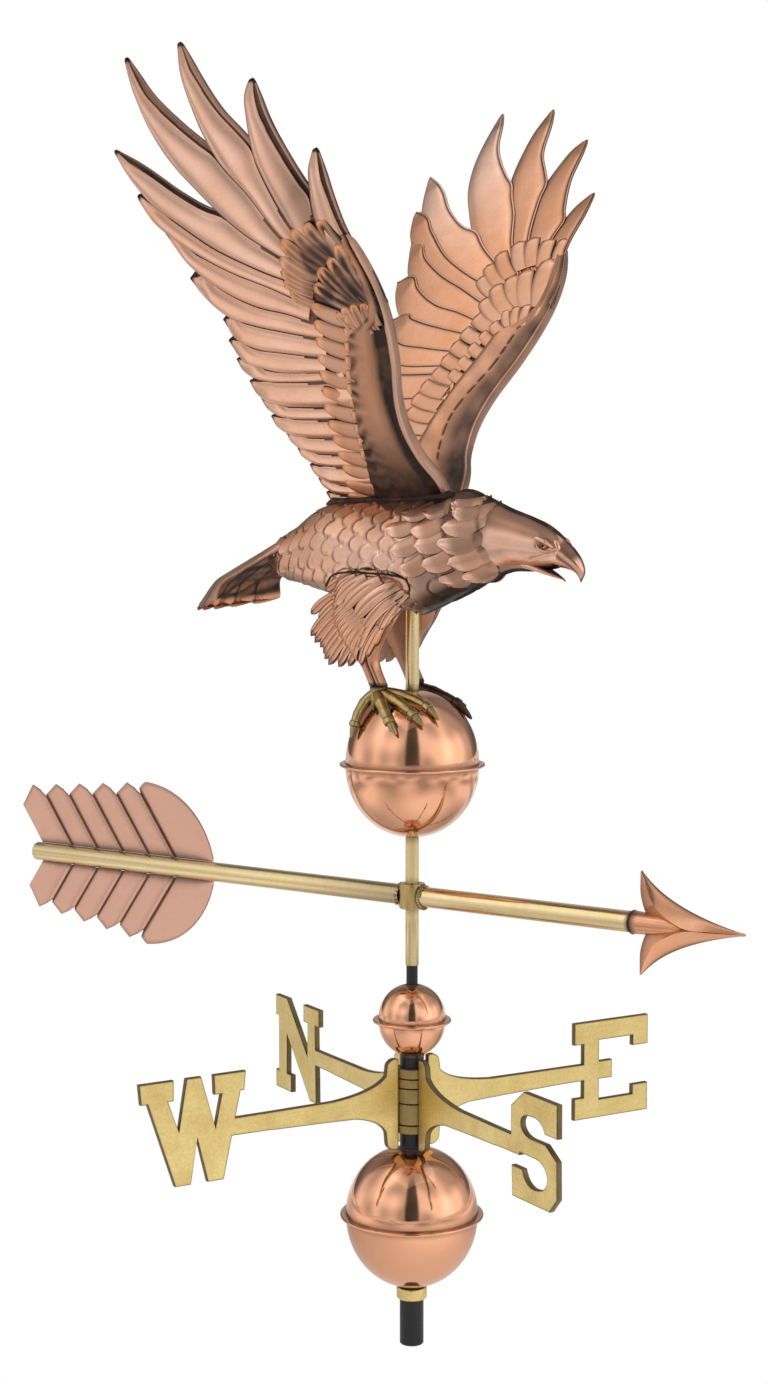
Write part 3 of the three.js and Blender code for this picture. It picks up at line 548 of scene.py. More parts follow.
def pulled_in(outline, distance):
    """An outline moved inwards by a distance, with mitred corners"""
    ahead = np.roll(outline, -1, axis=0) - outline
    behind = outline - np.roll(outline, 1, axis=0)
    ahead /= np.linalg.norm(ahead, axis=1)[:, None]
    behind /= np.linalg.norm(behind, axis=1)[:, None]
    area = np.sum(outline[:, 0] * np.roll(outline[:, 1], -1) - np.roll(outline[:, 0], -1) * outline[:, 1])
    turn = np.sign(area)
    inward = np.stack([-(ahead[:, 1] + behind[:, 1]), ahead[:, 0] + behind[:, 0]], axis=-1) * turn
    inward /= np.maximum(np.linalg.norm(inward, axis=1), 1e-6)[:, None]
    normal = np.stack([-ahead[:, 1], ahead[:, 0]], axis=-1) * turn
    stretch = 1 / np.maximum(np.sum(inward * normal, axis=1), 0.55)
    return outline + inward * (distance * stretch)[:, None]


def build_arm(name, letter, inner, degrees, eyes):
    """One brass casting of hub plate, arm and letter, with the eyes that hold it on the rod"""
    arm = Forms(arm_place(degrees))
    edge = bpy.context.scene.weathervane_sizes.casting_edge / MM
    half = CASTING_THICKNESS / 2
    outline = arm_outline(letter_paths()[letter], inner)
    near_side = [(3 * edge, -half, 0.04), (1.6 * edge, -half, 0.2), (0.9 * edge, -half, 0.75),
                 (0.3 * edge, 0.3 * edge - half, 0.95), (0, edge - half, 0.8)]
    layers = near_side + [(inset, -across, shade) for inset, across, shade in near_side[::-1]]
    rings, dark = [], []
    for inset, across, shade in layers:
        ring = pulled_in(outline, inset) if inset else outline
        rings.append(np.column_stack([ring[:, 0], np.full(len(ring), across), ring[:, 1]]))
        dark.append(np.full(len(ring), shade))
    arm.loft(rings, np.asarray(dark), 0.4)
    bore, outer = ROD_RADIUS + 0.5, HUB_INNER - 0.3
    for low, high in eyes:
        profile = rounded_ring(bore, outer, low + 0.2, high - 0.2, 0.9)
        arm.turned(profile, 48, dark=0.55, warm=0.8)
        corners = [(outer - 2, -1.8), (outer + 2.5, -1.8), (outer + 2.5, 1.8), (outer - 2, 1.8)]
        neck = [[(x, y, z) for x, y in corners] for z in (low + 0.8, high - 0.8)]
        arm.loft(neck, 0.5, 0.8)
    make_piece(name + "_casting", arm, "cast_brass", "spindle", [name], crease=30)


# Arrow

def build_tubes():
    """The arrow's two tubes and the upright tube over the pivot"""
    shaft, front, upright = Forms(eagle_place), Forms(eagle_place), Forms(eagle_place)
    radius, inside = ARROW_TUBE_RADIUS, ARROW_TUBE_RADIUS - ARROW_TUBE_WALL
    end, corner = ARROW_END, 2.2
    tail = [(0, end + 2.4), (0, end)]
    tail += [(radius - corner + corner * math.sin(t), end + corner - corner * math.cos(t))
             for t in np.linspace(0, math.pi / 2, 7)]
    tail += [(radius, -120), (radius, -9), (inside, -9), (inside, end + 2.6)]
    tail_dark = np.zeros(len(tail))
    tail_dark[-3] = 0.4
    shaft.turned(tail, 64, "along", dark=tail_dark, warm=0.4)
    make_piece("tail_shaft", shaft, "brass_tube", "vane", ["arrow_tail_tube"])
    front.turned([(inside, 9), (radius, 9), (radius, 14), (radius, 100), (radius, ARROW_SOCKET - 3),
                  (radius, ARROW_SOCKET), (inside, ARROW_SOCKET)], 64, "along",
                 dark=[0.6, 0.5, 0, 0, 0, 0.7, 0.9], warm=0.4)
    make_piece("front_shaft", front, "brass_tube", "vane", ["arrow_front_tube"])
    bore, outer = PIVOT_RADIUS + 0.3, 5.19
    heights = [301.6, 340, 346, 365, 371, 395, 402, 514, 521, 560, 600]
    profile = [(bore, 300.9)] + [(outer, z) for z in heights] + [(bore, 600)]
    dark = [0.8, 0.25, 0, 0.45, 0.45, 0, 0, 0.6, 0.75, 0, 0, 0, 0]
    upright.turned(profile, 48, dark=dark, warm=0.45)
    make_piece("upright_tube", upright, "brass_tube", "vane", ["vane_tube"])


def solder_lump(forms, centre, size, facing, rows, sides, dark, warm):
    """A small round lump of solder on the arrow's shaft"""
    turn = np.linspace(0.05, math.pi - 0.05, rows)
    path = np.asarray(centre) + np.outer(-np.cos(turn) * size, [facing, 0, 0])
    forms.limb(path, size * np.sin(turn) + 0.05, sides, dark=dark, warm=warm)


def build_arrow_collar():
    """The collar that holds the arrow's tubes, with a ring of solder at each mouth"""
    collar = Forms(eagle_place)
    half, bore, outer = 9.75, 5.5, 10.0
    solder = 8.3
    profile = rounded_ring(bore, outer, ARROW_HEIGHT - half, ARROW_HEIGHT + half, 0.8)
    collar.turned(profile, 64, dark=0.3, warm=0.9)
    for start, facing, count, seed, scale in ((10.6, 1, 26, 3.0, 1.0), (-10.4, -1, 14, 21.0, 0.7)):
        for i in range(count):
            turn = 2 * math.pi * i / count
            lump = float(scatter(i, seed))
            centre = (start + (1.6 * lump - 0.4) * facing, solder * math.cos(turn),
                      ARROW_HEIGHT + solder * math.sin(turn))
            solder_lump(collar, centre, (1.0 + 1.1 * lump) * scale, facing, 7, 10, 0.25 + 0.5 * lump, 0.7)
    make_piece("shaft_collar", collar, "brass_tube", "vane", ["arrow_collar"])


FLETCH_PANELS = 5
FLETCH_FOOT = -377.5
FLETCH_PITCH = 28.4
FLETCH_FRONT = -197.0
FLETCH_SLANT = 0.72


def fletching_columns(side):
    """Foot, height of the free edge, fold, shade and slant of each column, from the tail forwards"""
    first, growth = (40.0, 2.4) if side > 0 else (31.6, 3.9)
    parts = [(0.0, 0.0, 0.0, 0.75), (0.035, 0.5, 0.0, 0.0), (0.3, 4.5, 0.0, 0.0), (0.59, 9.0, 0.0, 0.0),
             (0.79, 5.3, 0.0, 0.12), (0.83, 4.2, 0.9, 0.0), (0.955, 1.2, 2.1, 0.0), (0.985, 0.4, 1.9, 0.7)]
    columns = []
    for panel in range(FLETCH_PANELS):
        for share, rise, fold, dark in parts:
            foot = FLETCH_FOOT + (panel + share) * FLETCH_PITCH
            height = first + growth * panel + rise
            if panel == 0 and share < 0.59:
                foot -= 7.5 * (1 - share / 0.59)
                height -= 9 * (1 - share / 0.59)
            columns.append((foot, height, fold, dark if panel or share else 0.1, 1.0))
    start = FLETCH_FOOT + FLETCH_PANELS * FLETCH_PITCH
    full = first + growth * FLETCH_PANELS + 6
    for round_share in np.linspace(0, 1, 25):
        foot = start + (FLETCH_FRONT - start) * round_share
        height = full * (1 - round_share ** 2.6) + 3 - 50 * max(0.12 - round_share, 0)
        columns.append((foot, height, 0.0, 0.0 if round_share else 0.75, 1 - round_share))
    return columns


def build_fletching(name, side):
    """A folded sheet with a scalloped free edge, above or below the arrow's tail"""
    sheet = Forms(eagle_place)
    base = ARROW_TUBE_RADIUS + 0.3
    half = 0.7
    rows = 14
    rings, dark = [], []
    for foot, height, fold, shade, lean in fletching_columns(side):
        out = np.linspace(0, 1, rows) ** 0.9 * height
        along = foot - out * FLETCH_SLANT * lean
        level = ARROW_HEIGHT + side * (base + out)
        faces = [np.column_stack([along, np.full(rows, 0.5 - fold + y), level]) for y in (-half, half)]
        rings.append(np.vstack([faces[0], faces[1][::-1]]))
        column = np.full(rows, shade)
        column[0] = 0.8
        column[1] = max(shade, 0.15)
        column[-1] = max(shade, 0.4)
        dark.append(np.concatenate([column, column[::-1]]))
    sheet.loft(rings, np.asarray(dark), 0.45)
    make_piece(name + "_sheet", sheet, "sheet_copper", "vane", [name], crease=16)


def barb_rings(flip):
    """Half of the arrowhead: sections across one barb, from its back corner to the point"""
    count, edge_half = 44, 0.5
    share = np.linspace(0, 1, count)
    edge = bezier([(200.5, 38.5), (222, 12), (ARROW_TIP, 0.4)], count)
    ridge = curve_through([(200.2, 38, 0.8), (206, 26, 3.8), (216, 12.5, 6.4), (228, 5, 8.0), (240, 0.8, 9),
                           (258, 0.4, 6.6), (ARROW_TIP - 0.4, 0, 0.8)], share)
    inner = curve_through([(199.6, 37.5), (200.5, 18), (207, 4), (225, -1.5), (ARROW_TIP - 1, -1)], share)
    rings, dark = [], []
    for e, r, i in zip(edge, ridge, inner):
        near, shades = [], []
        for k in np.linspace(0, 1, 8):
            near.append((e[0] + (r[0] - e[0]) * k, edge_half + (r[2] - edge_half) * k ** 1.35,
                         e[1] + (r[1] - e[1]) * k))
            shades.append(0.9 if k == 0 else (0.35 if k < 0.2 else 0.15 * (1 - k)))
        for k in np.linspace(0, 1, 6)[1:]:
            near.append((r[0] + (i[0] - r[0]) * k, edge_half + (r[2] - edge_half) * (1 - k) ** 1.2,
                         r[1] + (i[1] - r[1]) * k))
            shades.append(0.15 + 0.55 * k ** 2)
        near = np.asarray(near)
        far = near[::-1] * [1, -1, 1]
        ring = np.vstack([near, far])
        rings.append(np.column_stack([ring[:, 0], ring[:, 1], ARROW_HEIGHT + flip * ring[:, 2]]))
        dark.append(np.concatenate([shades, shades[::-1]]))
    return rings, np.asarray(dark)


def build_arrow_head():
    """The barbed head on its socket, with solder round the socket's mouth"""
    head = Forms(eagle_place)
    solder = 8.1
    for flip in (1, -1):
        rings, dark = barb_rings(flip)
        head.loft(rings, dark, 0.75)
    socket = [(0, 192.8), (8, 192.8), (8.6, 194.2), (8.3, 200), (7.6, 214), (6.2, 230), (3, 242), (0, 247)]
    head.turned(socket, 48, "along", dark=[1, 1, 0.9, 0.05, 0, 0.05, 0.3, 0.4], warm=0.8)
    for i in range(18):
        turn = 2 * math.pi * i / 18
        centre = (193.9, solder * math.cos(turn), ARROW_HEIGHT + solder * math.sin(turn))
        solder_lump(head, centre, 0.8 + 0.5 * float(scatter(i, 7.7)), 1, 6, 8, 0.95, 0.5)
    make_piece("barbed_head", head, "feather_copper", "vane", ["arrow_head"], crease=30)


# Eagle: body and head

# Place along the body, top, underside and half width
BODY_SECTIONS = [
    (-138, 619, 609, 4), (-125, 629, 600, 13), (-104, 640, 595, 21), (-78, 655.5, 589, 28),
    (-45, 660, 582, 33), (-6, 661, 577, 35), (14, 662.5, 575, 34), (34, 665, 582, 32),
    (52, 667.5, 590.5, 28.5), (72, 660.5, 601, 24), (90, 653, 608, 20), (109, 646.5, 609, 18),
    (122, 641, 610.5, 16.5), (132, 634, 613, 13), (138, 628, 617, 9),
]


def hull_point(along, turn):
    """A point of the plain body, from its place along and its turn round from the eagle's left side"""
    top, under, half = np.moveaxis(smooth_table(BODY_SECTIONS, along), -1, 0)
    cos, sin = np.cos(turn), np.sin(turn)
    closing = np.sqrt(np.clip((139.2 - along) / 6.0, 0, 1)) * np.sqrt(np.clip((along + 139.5) / 4.0, 0, 1))
    b = half * np.sign(cos) * np.abs(cos) ** 0.92 * closing
    c = (top + under) / 2 + (top - under) / 2 * sin * closing
    return np.stack([along, b, c], axis=-1)


def scale_pattern(along, around, pitch, width, wander=1.0):
    """Lapped rounded scales whose tips point back: their height, groove, lip and a number for each scale"""
    covered = np.full(along.shape, -1e9)
    edge_behind = np.full(along.shape, 1e9)
    seed = np.zeros(along.shape)
    first = int(math.floor(along.min() / pitch)) - 2
    last = int(math.ceil(along.max() / pitch)) + 2
    for row in range(first, last + 1):
        shifted = around / width + 0.5 * (row % 2)
        number = np.round(shifted)
        across = np.clip(np.abs(shifted - number) * 2, 0, 1)
        chance = scatter(row, number)
        tip = row * pitch + (chance - 0.5) * 0.28 * pitch * wander
        edge = tip + pitch * 0.62 * (1 - np.sqrt(np.clip(1 - across ** 2.2, 0, 1)))
        over = edge <= along
        newer = over & (edge > covered)
        seed = np.where(newer, chance, seed)
        covered = np.where(newer, edge, covered)
        edge_behind = np.where(~over & (edge < edge_behind), edge, edge_behind)
    back = along - covered
    lift = np.clip(1 - back / (1.7 * pitch), 0, 1) ** 1.3
    return lift, hump(edge_behind, along, 1.5), hump(back, 0, 1.4), seed


def softened(values, passes=2):
    """A surface's values smoothed over their neighbours along it and around it"""
    for _ in range(passes):
        values = (np.roll(values, 1, axis=1) + 2 * values + np.roll(values, -1, axis=1)) / 4
        padded = np.concatenate([values[:1], values, values[-1:]], axis=0)
        values = (padded[:-2] + 2 * padded[1:-1] + padded[2:]) / 4
    return values


def seam_share(points, width):
    """How near a point is to the middle seam over the back, crown and belly"""
    return hump(points[..., 1], 0, width)


# Root and tip (forward, height), half width and layer of the large feathers round the neck
RUFF_FEATHERS = [
    ((20, 645), (-2, 638), 6.6, 0), ((25, 631), (4, 622), 6.8, 0.2), ((31, 617), (11, 607), 6.6, 0),
    ((30, 657), (8, 650), 6.2, 0.6), ((46, 658), (27, 652), 6.4, 1.2), ((44, 647), (21, 637), 7.6, 1.0),
    ((48, 634), (25, 626), 7.6, 1.2), ((53, 621), (31, 611), 7.2, 1.0),
    ((60, 609), (42, 599.5), 6.2, 0.8), ((66, 659), (50, 658), 5.4, 2.0),
    ((74, 654), (53, 652), 6.2, 2.2), ((73, 649), (47, 640), 8.0, 2.0), ((72, 636), (44, 628), 7.6, 2.3),
    ((76, 622), (51, 613), 7.2, 2.0), ((78, 613), (59, 602), 5.6, 1.8),
]


def side_reach(middle, half_height, half_width, level, power):
    """How far out a rounded side lies at a level"""
    share = np.clip((level - middle) / half_height, -0.985, 0.985)
    return half_width * (1 - share ** 2) ** power


def body_surface(along, height):
    """How far out the plain body's side lies at a place seen from the side"""
    top, under, half = np.moveaxis(smooth_table(BODY_SECTIONS, along), -1, 0)
    return side_reach((top + under) / 2, (top - under) / 2, half, height, 0.46)


def ruff_feather(body, side, root, tip, half, layer):
    """A rounded feather of the neck: its lifted edge is left bright as a painted highlight, and the rest is
    darkened as painted shadow from the feather over it
    """
    root, tip = np.asarray(root, float), np.asarray(tip, float)
    root = root + 0.22 * (root - tip)
    seed = float(scatter(root[0], root[1], half))
    share = np.linspace(0, 1, 24)
    width = 1.12 * half * (0.80 + 0.20 * share) * np.clip(1 - share ** 4, 0, 1) ** 0.5 + 0.2
    flat, _, s = feather_plan(root, tip, width, 0.10 + 0.08 * seed, 17)
    share = share[:, None]
    skin = body_surface(flat[..., 0], flat[..., 1])
    sunk = ease(0.28, 0.0, share)
    lift = (0.4 + 0.45 * layer) * (1 - sunk) - 2.2 * sunk + 2.6 * share ** 1.5
    lobes = 0.35 * np.cos(s * (3.0 + 2.0 * seed) + 5 * seed) * share
    crown = lift + (0.9 + 0.5 * seed) * (1 - s ** 2) - 0.7 * ease(0.80, 0.97, share) + lobes
    rings = shell(side_view(flat, side, skin - 0.4 + crown), side_view(flat, side, skin - 1.6))
    # edge marks the lifted edge, kept bright as a painted highlight; shade paints shadow over the rest,
    # with dark rims
    edge = ease(0.62, 0.86, share) * ease(1.0, 0.9, np.abs(s))
    shade = (0.30 + 0.25 * seed) * (1 - edge) + 0.9 * (np.abs(s) > 0.98) * (1 - sunk)
    dark = np.concatenate([shade, np.ones(shade.shape)], axis=1)
    body.loft(rings, np.clip(dark, 0, 1), 0.45 - 0.35 * ease(0.5, 0.9, share))


def distance_from_back(along, turn):
    """How far round the plain body the points of its grid lie from the middle of the back"""
    half_turn = np.linspace(math.pi / 2, -math.pi / 2, 61)
    from_top = np.abs((turn + math.pi / 2) % (2 * math.pi) - math.pi)
    girths = [run_of(hull_point(np.full(61, a), half_turn)) for a in along]
    return np.array([np.interp(from_top, math.pi / 2 - half_turn, girth) for girth in girths])


def outward(points, middle):
    """Unit normals of a grid of points that point away from its middle line"""
    normal = np.cross(np.gradient(points, axis=0), np.gradient(points, axis=1))
    normal /= np.maximum(np.linalg.norm(normal, axis=-1), 1e-9)[..., None]
    return normal * np.sign(np.sum(normal * (points - middle), axis=-1))[..., None]


def build_body():
    """The body and head: lapped scales, the neck's large feathers and a seam over back and belly"""
    lift = bpy.context.scene.weathervane_sizes.scale_lift / MM
    fine = 1.0
    along = -139.4 + 278.5 * np.linspace(0, 1, int(430 * fine))
    along[-12:] = np.linspace(along[-12], 139.15, 12)
    turn = np.linspace(-math.pi / 2, 1.5 * math.pi, int(216 * fine), endpoint=False)
    a, grid_turn = np.meshgrid(along, turn, indexing="ij")
    points = hull_point(a, grid_turn)
    around = distance_from_back(along, turn)
    top, under, _ = np.moveaxis(smooth_table(BODY_SECTIONS, a), -1, 0)
    normal = outward(points, np.stack([a, 0 * a, (top + under) / 2], axis=-1))

    # Scales on the body, a plainer ground under the neck's feathers, and a smooth head and rump
    small = scale_pattern(a + 0.16 * around, around + 3.0, 13.6, 13.8)
    large = scale_pattern(a + 0.10 * around + 5, around + 6.0, 23.5, 19.0, 0.8)
    ruff = ease(26, 34, a + 0.12 * around)
    head = ease(70, 84, a + 0.05 * around)
    rump = ease(-118, -131, a)
    shape, grooves, lip_highlight, tint = [first * (1 - ruff) + second * ruff for first, second in zip(small, large)]
    shape = (shape - 0.3 * large[0] * ruff) * (1 - head) * (1 - rump)
    grooves = grooves * (1 - head) * (1 - rump)
    shape, grooves = softened(shape), softened(grooves, 1)
    lip_highlight, tint = softened(lip_highlight * (1 - head)), softened(tint * (1 - head) + 0.5 * head)
    shape = shape * (1 - 0.85 * seam_share(points, 11.0) * (points[..., 2] > 630))
    shape = shape * (1 - 0.9 * seam_share(points, 9.0) * (points[..., 2] < 612) * ease(10, 30, a))
    seam = (0.9 + 1.3 * ease(30, 60, a)) * seam_share(points, 1.5) * (1 - rump)
    out = lift * shape - 0.6 * grooves + seam + 0.25 * ripple(points, 7.0) * (1 - head)
    points = points + normal * (out - 1.1)[..., None]

    # Eye sockets and the fold of each cheek
    outside = np.abs(points[..., 1]) > 5
    socket = hump(a, 124, 5.2) * hump(points[..., 2], 627.6, 3.6) * outside
    cheek = hump(points[..., 2], 617.6 + (a - 112) * 0.30, 1.1) * ease(108, 114, a) * outside
    points[..., 1] -= np.sign(points[..., 1]) * (socket * 2.6 + cheek * 0.9)

    rise = (points[..., 2] - under) / (top - under)
    crown = ease(0.55, 0.76, rise) * ease(60, 80, a)
    mantle = ease(0.52, 0.88, rise) * (1 - head)
    rear = ease(-40, -105, a)
    # Painted shade, with patina, in the groove under each scale's edge; a painted highlight on each scale's
    # lip; painted shade in the eye sockets and cheek folds; a dark seam over back and belly; darker towards
    # the belly, the rear, the crown and the back
    dark = 0.95 * grooves + seam_share(points, 2.7) * ease(0.5, 0.9, np.abs(rise - 0.5) * 2) - 0.3 * lip_highlight
    dark += 0.9 * socket + 0.35 * cheek + 0.6 * ease(0.20, 0.03, rise) + 0.14 * rear
    dark += 0.54 * crown * (0.8 + 0.2 * ripple(points, 9.0)) + (0.30 + 0.15 * ripple(points, 11.0)) * mantle
    # The second term is painted shadow on the body under and between the neck's feathers
    dark += (0.12 * (tint - 0.4) + 0.6 * ease(10, 28, a)) * (1 - head)
    warm = 0.10 + 0.6 * mantle + 0.22 * (tint - 0.5) + 0.45 * rear + 0.45 * crown
    warm += 0.4 * ease(0.10, 0.02, rise) + 0.3 * ease(0.3, 0.05, rise) * head
    body = Forms(eagle_place)
    body.loft(points, dark, warm)
    for side in (-1, 1):
        for root, tip, half, layer in RUFF_FEATHERS:
            ruff_feather(body, side, root, tip, half, layer)
    make_piece("scaled_body", body, "feather_copper", "vane", ["eagle_body"], crease=60)


# Outlines of the beak's two halves, seen from the side: forward and height
BEAK_TOP = [
    (118, 641), (128, 636.5), (135.5, 631), (143, 624.5), (149.3, 615.5), (151.2, 608), (148.2, 600.8),
]
BEAK_UNDER = [
    (110, 616), (120, 613.2), (130, 611.5), (138, 610), (143.8, 607.6), (146.4, 604.4), (147.7, 600.9),
]
JAW_TOP = [(103, 617), (112, 614), (121, 610.2), (129, 605.8), (134.9, 602.4)]
JAW_UNDER = [(103, 610), (113, 607.6), (122, 605), (129.5, 603), (135.1, 601.6)]
BEAK_TURN = np.linspace(-math.pi / 2, 1.5 * math.pi, 48, endpoint=False)


def add_beak(head):
    """The hooked upper half of the beak"""
    sin, cos = np.sin(BEAK_TURN), np.cos(BEAK_TURN)
    share = np.linspace(0, 1, 46)
    half = np.interp(share, [0, 0.3, 0.5, 0.7, 0.85, 1], [11.5, 11.0, 9.2, 6.2, 3.6, 0.35])
    level = np.sign(sin) * np.abs(sin) ** 0.9
    tops, unders = curve_through(BEAK_TOP, share), curve_through(BEAK_UNDER, share)
    rings, dark, warm = [], [], []
    for top, under, wide, k in zip(tops, unders, half, share):
        middle, reach = (top + under) / 2, (top - under) / 2
        width = wide * np.sign(cos) * np.abs(cos) ** (1.15 + 0.2 * sin)
        rings.append(np.column_stack([middle[0] + reach[0] * level, width, middle[1] + reach[1] * level]))
        crest = hump(width, 0, 1.3) * (sin > 0)
        band = hump(level, 0.35 - 0.9 * k, 0.16) * ease(0.34, 0.42, k)
        upper = ease(0.25, 0.45, level) * ease(0.30, 0.38, k) * ease(0.70, 0.60, k)
        lower = hump(width, 0, 0.8) * (sin < 0) * 0.8
        shade = 0.95 * crest + 0.9 * band + 0.72 * upper + lower + 0.6 * ease(0.9, 1.0, k)
        dark.append(np.clip(shade, 0, 1))
        warm.append(0.25 + 0.4 * upper)
    head.loft(rings, np.asarray(dark), np.asarray(warm))


def add_jaw(head):
    """The lower half of the beak, hollowed along its top"""
    sin, cos = np.sin(BEAK_TURN), np.cos(BEAK_TURN)
    share = np.linspace(0, 1, 46)
    half = np.interp(share, [0, 0.4, 0.75, 1], [10.5, 9.0, 5.2, 0.5])
    level = np.sign(sin) * np.abs(sin) ** 0.8
    tops, unders = curve_through(JAW_TOP, share), curve_through(JAW_UNDER, share)
    rings = []
    for top, under, wide, k in zip(tops, unders, half, share):
        middle, reach = (top + under) / 2, (top - under) / 2
        trough = 1.6 * np.clip(sin, 0, 1) * hump(cos, 0, 0.5) * ease(0.15, 0.4, k)
        rings.append(np.column_stack([middle[0] + reach[0] * level, wide * cos,
                                      middle[1] + reach[1] * level - trough]))
    # The top of the lower half is darkened as painted shade inside the mouth, under the upper half, and a
    # dark line runs along its underside
    dark = np.clip(0.95 * ease(0.5, 0.8, sin) + 0.8 * ease(-0.75, -0.95, sin), 0, 1)
    head.loft(rings, np.broadcast_to(dark, (len(share), len(sin))), 0.2)


def add_eye(head, side):
    """The fold over the nostril, the brow, the lower lid and the eye of one side"""
    def line(points, shares):
        return curve_through([(a, side * b, c) for a, b, c in points], shares)

    shares = np.linspace(0, 1, 12)
    fold = line([(129.6, 6.0, 631.4), (131.4, 7.6, 629.0), (132.8, 8.4, 626), (133.6, 8.4, 623.0)], shares)
    radius = 2.3 * np.sqrt(np.clip(1 - (np.linspace(-1, 1, 12) * 0.97) ** 4, 0, 1)) + 0.3
    head.limb(fold, radius, 16, dark=0.0, warm=0.5)
    shares = np.linspace(0, 1, 26)
    brow = line([(115.5, 15.4, 633.6), (120, 16.6, 633.2), (126, 16, 630.6), (132.6, 13.2, 625.6)], shares)
    radius = 2.1 * np.interp(shares, [0, 0.15, 0.6, 0.85, 1], [0.1, 0.75, 1.05, 0.6, 0.04])
    head.limb(brow, radius, 16, flat=0.8, dark=0.15 * ease(0.9, 1, shares), warm=0.2)
    lid = line([(118.5, 15, 630), (120.5, 15.4, 625.6), (125.5, 14.9, 623.4), (130, 13.4, 624.4)], shares)
    head.limb(lid, 0.9 * np.sin(np.pi * shares) + 0.05, 12, dark=0.1, warm=0.3)
    turn = np.linspace(0.02, math.pi - 0.02, 18)
    ball = np.array([124.4, side * 13.0, 627.4]) + np.outer(-np.cos(turn) * 2.7, [0, side, 0])
    pupil, ring_of_eye = math.pi - 0.42, math.pi - 0.8
    shade = np.where(turn > pupil, 1.0, np.where(turn > ring_of_eye, 0.05, 0.55))
    head.limb(ball, 2.7 * np.sin(turn) + 0.02, 20, dark=shade, warm=0.5)


def build_head():
    """The beak and the eyes with their brows"""
    head = Forms(eagle_place)
    add_beak(head)
    add_jaw(head)
    for side in (-1, 1):
        add_eye(head, side)
    make_piece("beak_and_brow", head, "feather_copper", "vane", ["eagle_body"], crease=45)


# Wings, drawn in their own plane: forward, then out along the wing

# The outer feathers: trailing edge, leading edge, channel width, rim width, share where it comes free, the
# tip's warmth and shade above, and how dark the channel is
PRIMARY_EDGES = [
    ([(-2, 190), (-21, 197), (-46, 211), (-66, 225), (-88, 248), (-103, 265), (-110, 284), (-114.5, 311)],
     [(12, 200), (-10, 217), (-30, 241), (-47, 253), (-59, 260), (-74, 273), (-92, 293), (-111.5, 311.5)],
     4.8, 0.7, 0.50, 0.05, 0.0, 1.0),
    ([(8, 196), (-14, 216), (-34, 235), (-47, 253), (-58, 274), (-68, 297), (-73, 329), (-71, 355),
      (-66, 380)],
     [(18, 205), (2, 238), (-14, 279), (-29, 305), (-44, 326), (-56, 348), (-62.5, 380)],
     6.4, 1.3, 0.58, 0.0, 0.0, 0.70),
    ([(14, 205), (-4, 231), (-17, 270), (-27, 293), (-29, 305), (-28.5, 339), (-25, 362), (-16, 386.5)],
     [(28, 210), (19, 240), (13, 275), (6, 309), (-5, 333), (-10, 358), (-12, 385.5)],
     5.6, 1.8, 0.55, 0.72, 0.10, 0.45),
    ([(20, 205), (8, 239), (4, 269), (4, 296), (7, 309), (12, 325), (20, 344), (29, 354.5)],
     [(40, 212), (40, 240), (38, 262), (33, 290), (30, 320), (32.5, 353)],
     7.2, 3.0, 0.40, 0.8, 0.24, 0.85),
    ([(28, 205), (27, 225), (31, 248), (37, 266), (43, 281), (54.5, 298)],
     [(59, 170), (57, 203), (52, 229), (53, 255), (55.5, 275), (58.5, 297)],
     7.0, 4.0, 0.0, 0.8, 0.34, 0.90),
]

# The next feathers, from the body outwards: trailing edge and leading edge
OUTER_SECONDARIES = [
    ([(-20, 113), (-71, 117), (-91, 127), (-96, 143.5)],
     [(-10, 132), (-48, 138), (-72, 144.5), (-86, 150), (-94, 147)]),
    ([(-12, 126), (-50, 132), (-74, 137), (-88, 147), (-91.5, 162)],
     [(-4, 149), (-39, 158), (-62, 165), (-80, 172), (-90, 166)]),
    ([(-8, 143), (-41, 151), (-63, 157), (-85, 167), (-97, 184), (-103, 199.5)],
     [(2, 162), (-27, 173), (-51, 182), (-72, 196), (-90, 209), (-101.5, 203.5)]),
    ([(-13, 159), (-29, 166), (-54, 174), (-76, 188), (-94, 208), (-105, 240)],
     [(-2, 180), (-31, 198), (-57, 212), (-81, 229), (-96, 244), (-103.5, 243)]),
    ([(-8, 173), (-35, 190), (-61, 204), (-85, 222), (-101, 238), (-109, 250), (-114.5, 272)],
     [(0, 190), (-15, 204), (-41, 218), (-61, 232), (-84, 253), (-99, 270), (-110.5, 275.5)]),
]

# Tips of the inner trailing feathers, and the edges of the one next to the body
INNER_SECONDARY_TIPS = [
    (-74, -2), (-75, 12), (-77, 25.5), (-81, 42), (-84.4, 56.5), (-91, 73), (-92, 90), (-95, 106.5),
    (-97, 127),
]
INNERMOST_SECONDARY = ([(-18, -17), (-50, -17), (-66, -17), (-73, -14.5)],
                       [(-18, -4), (-50, -3.4), (-64, -2), (-73.5, -6)])

# Front and rear of the wing's smooth arm, and the lines where the large and the small coverts end
LEADING_EDGE = [
    (-18, 42), (-4, 41), (16, 38), (30, 33), (45, 30.5), (60, 30), (73, 31.5), (86, 34.5), (105, 41),
    (117, 45.5), (132, 50), (147, 54), (164, 56.8), (178, 58), (195, 57.8), (210, 56), (230, 51.5),
]
BAND_REAR = [
    (-18, -27), (0, -25), (20, -22), (40, -17), (60, -13), (80, -8), (93, -4), (108, 1.5), (123, 8),
    (137, 13), (147, 18), (153, 28), (158, 36), (170, 44), (185, 47), (210, 47.5), (230, 45),
]
COVERT_LINE = [
    (-57, -14), (-46, 21), (-43, 55), (-37, 90), (-26, 125), (-16, 150), (-11, 178), (-17, 206),
    (-8, 231), (6, 242), (22, 244), (36, 240),
]
SMALL_COVERT_LINE = [
    (-22, -16), (-11, 39), (-2, 90), (12, 128), (22, 150), (27, 165), (35, 180), (42, 200), (48, 214),
    (50, 222),
]

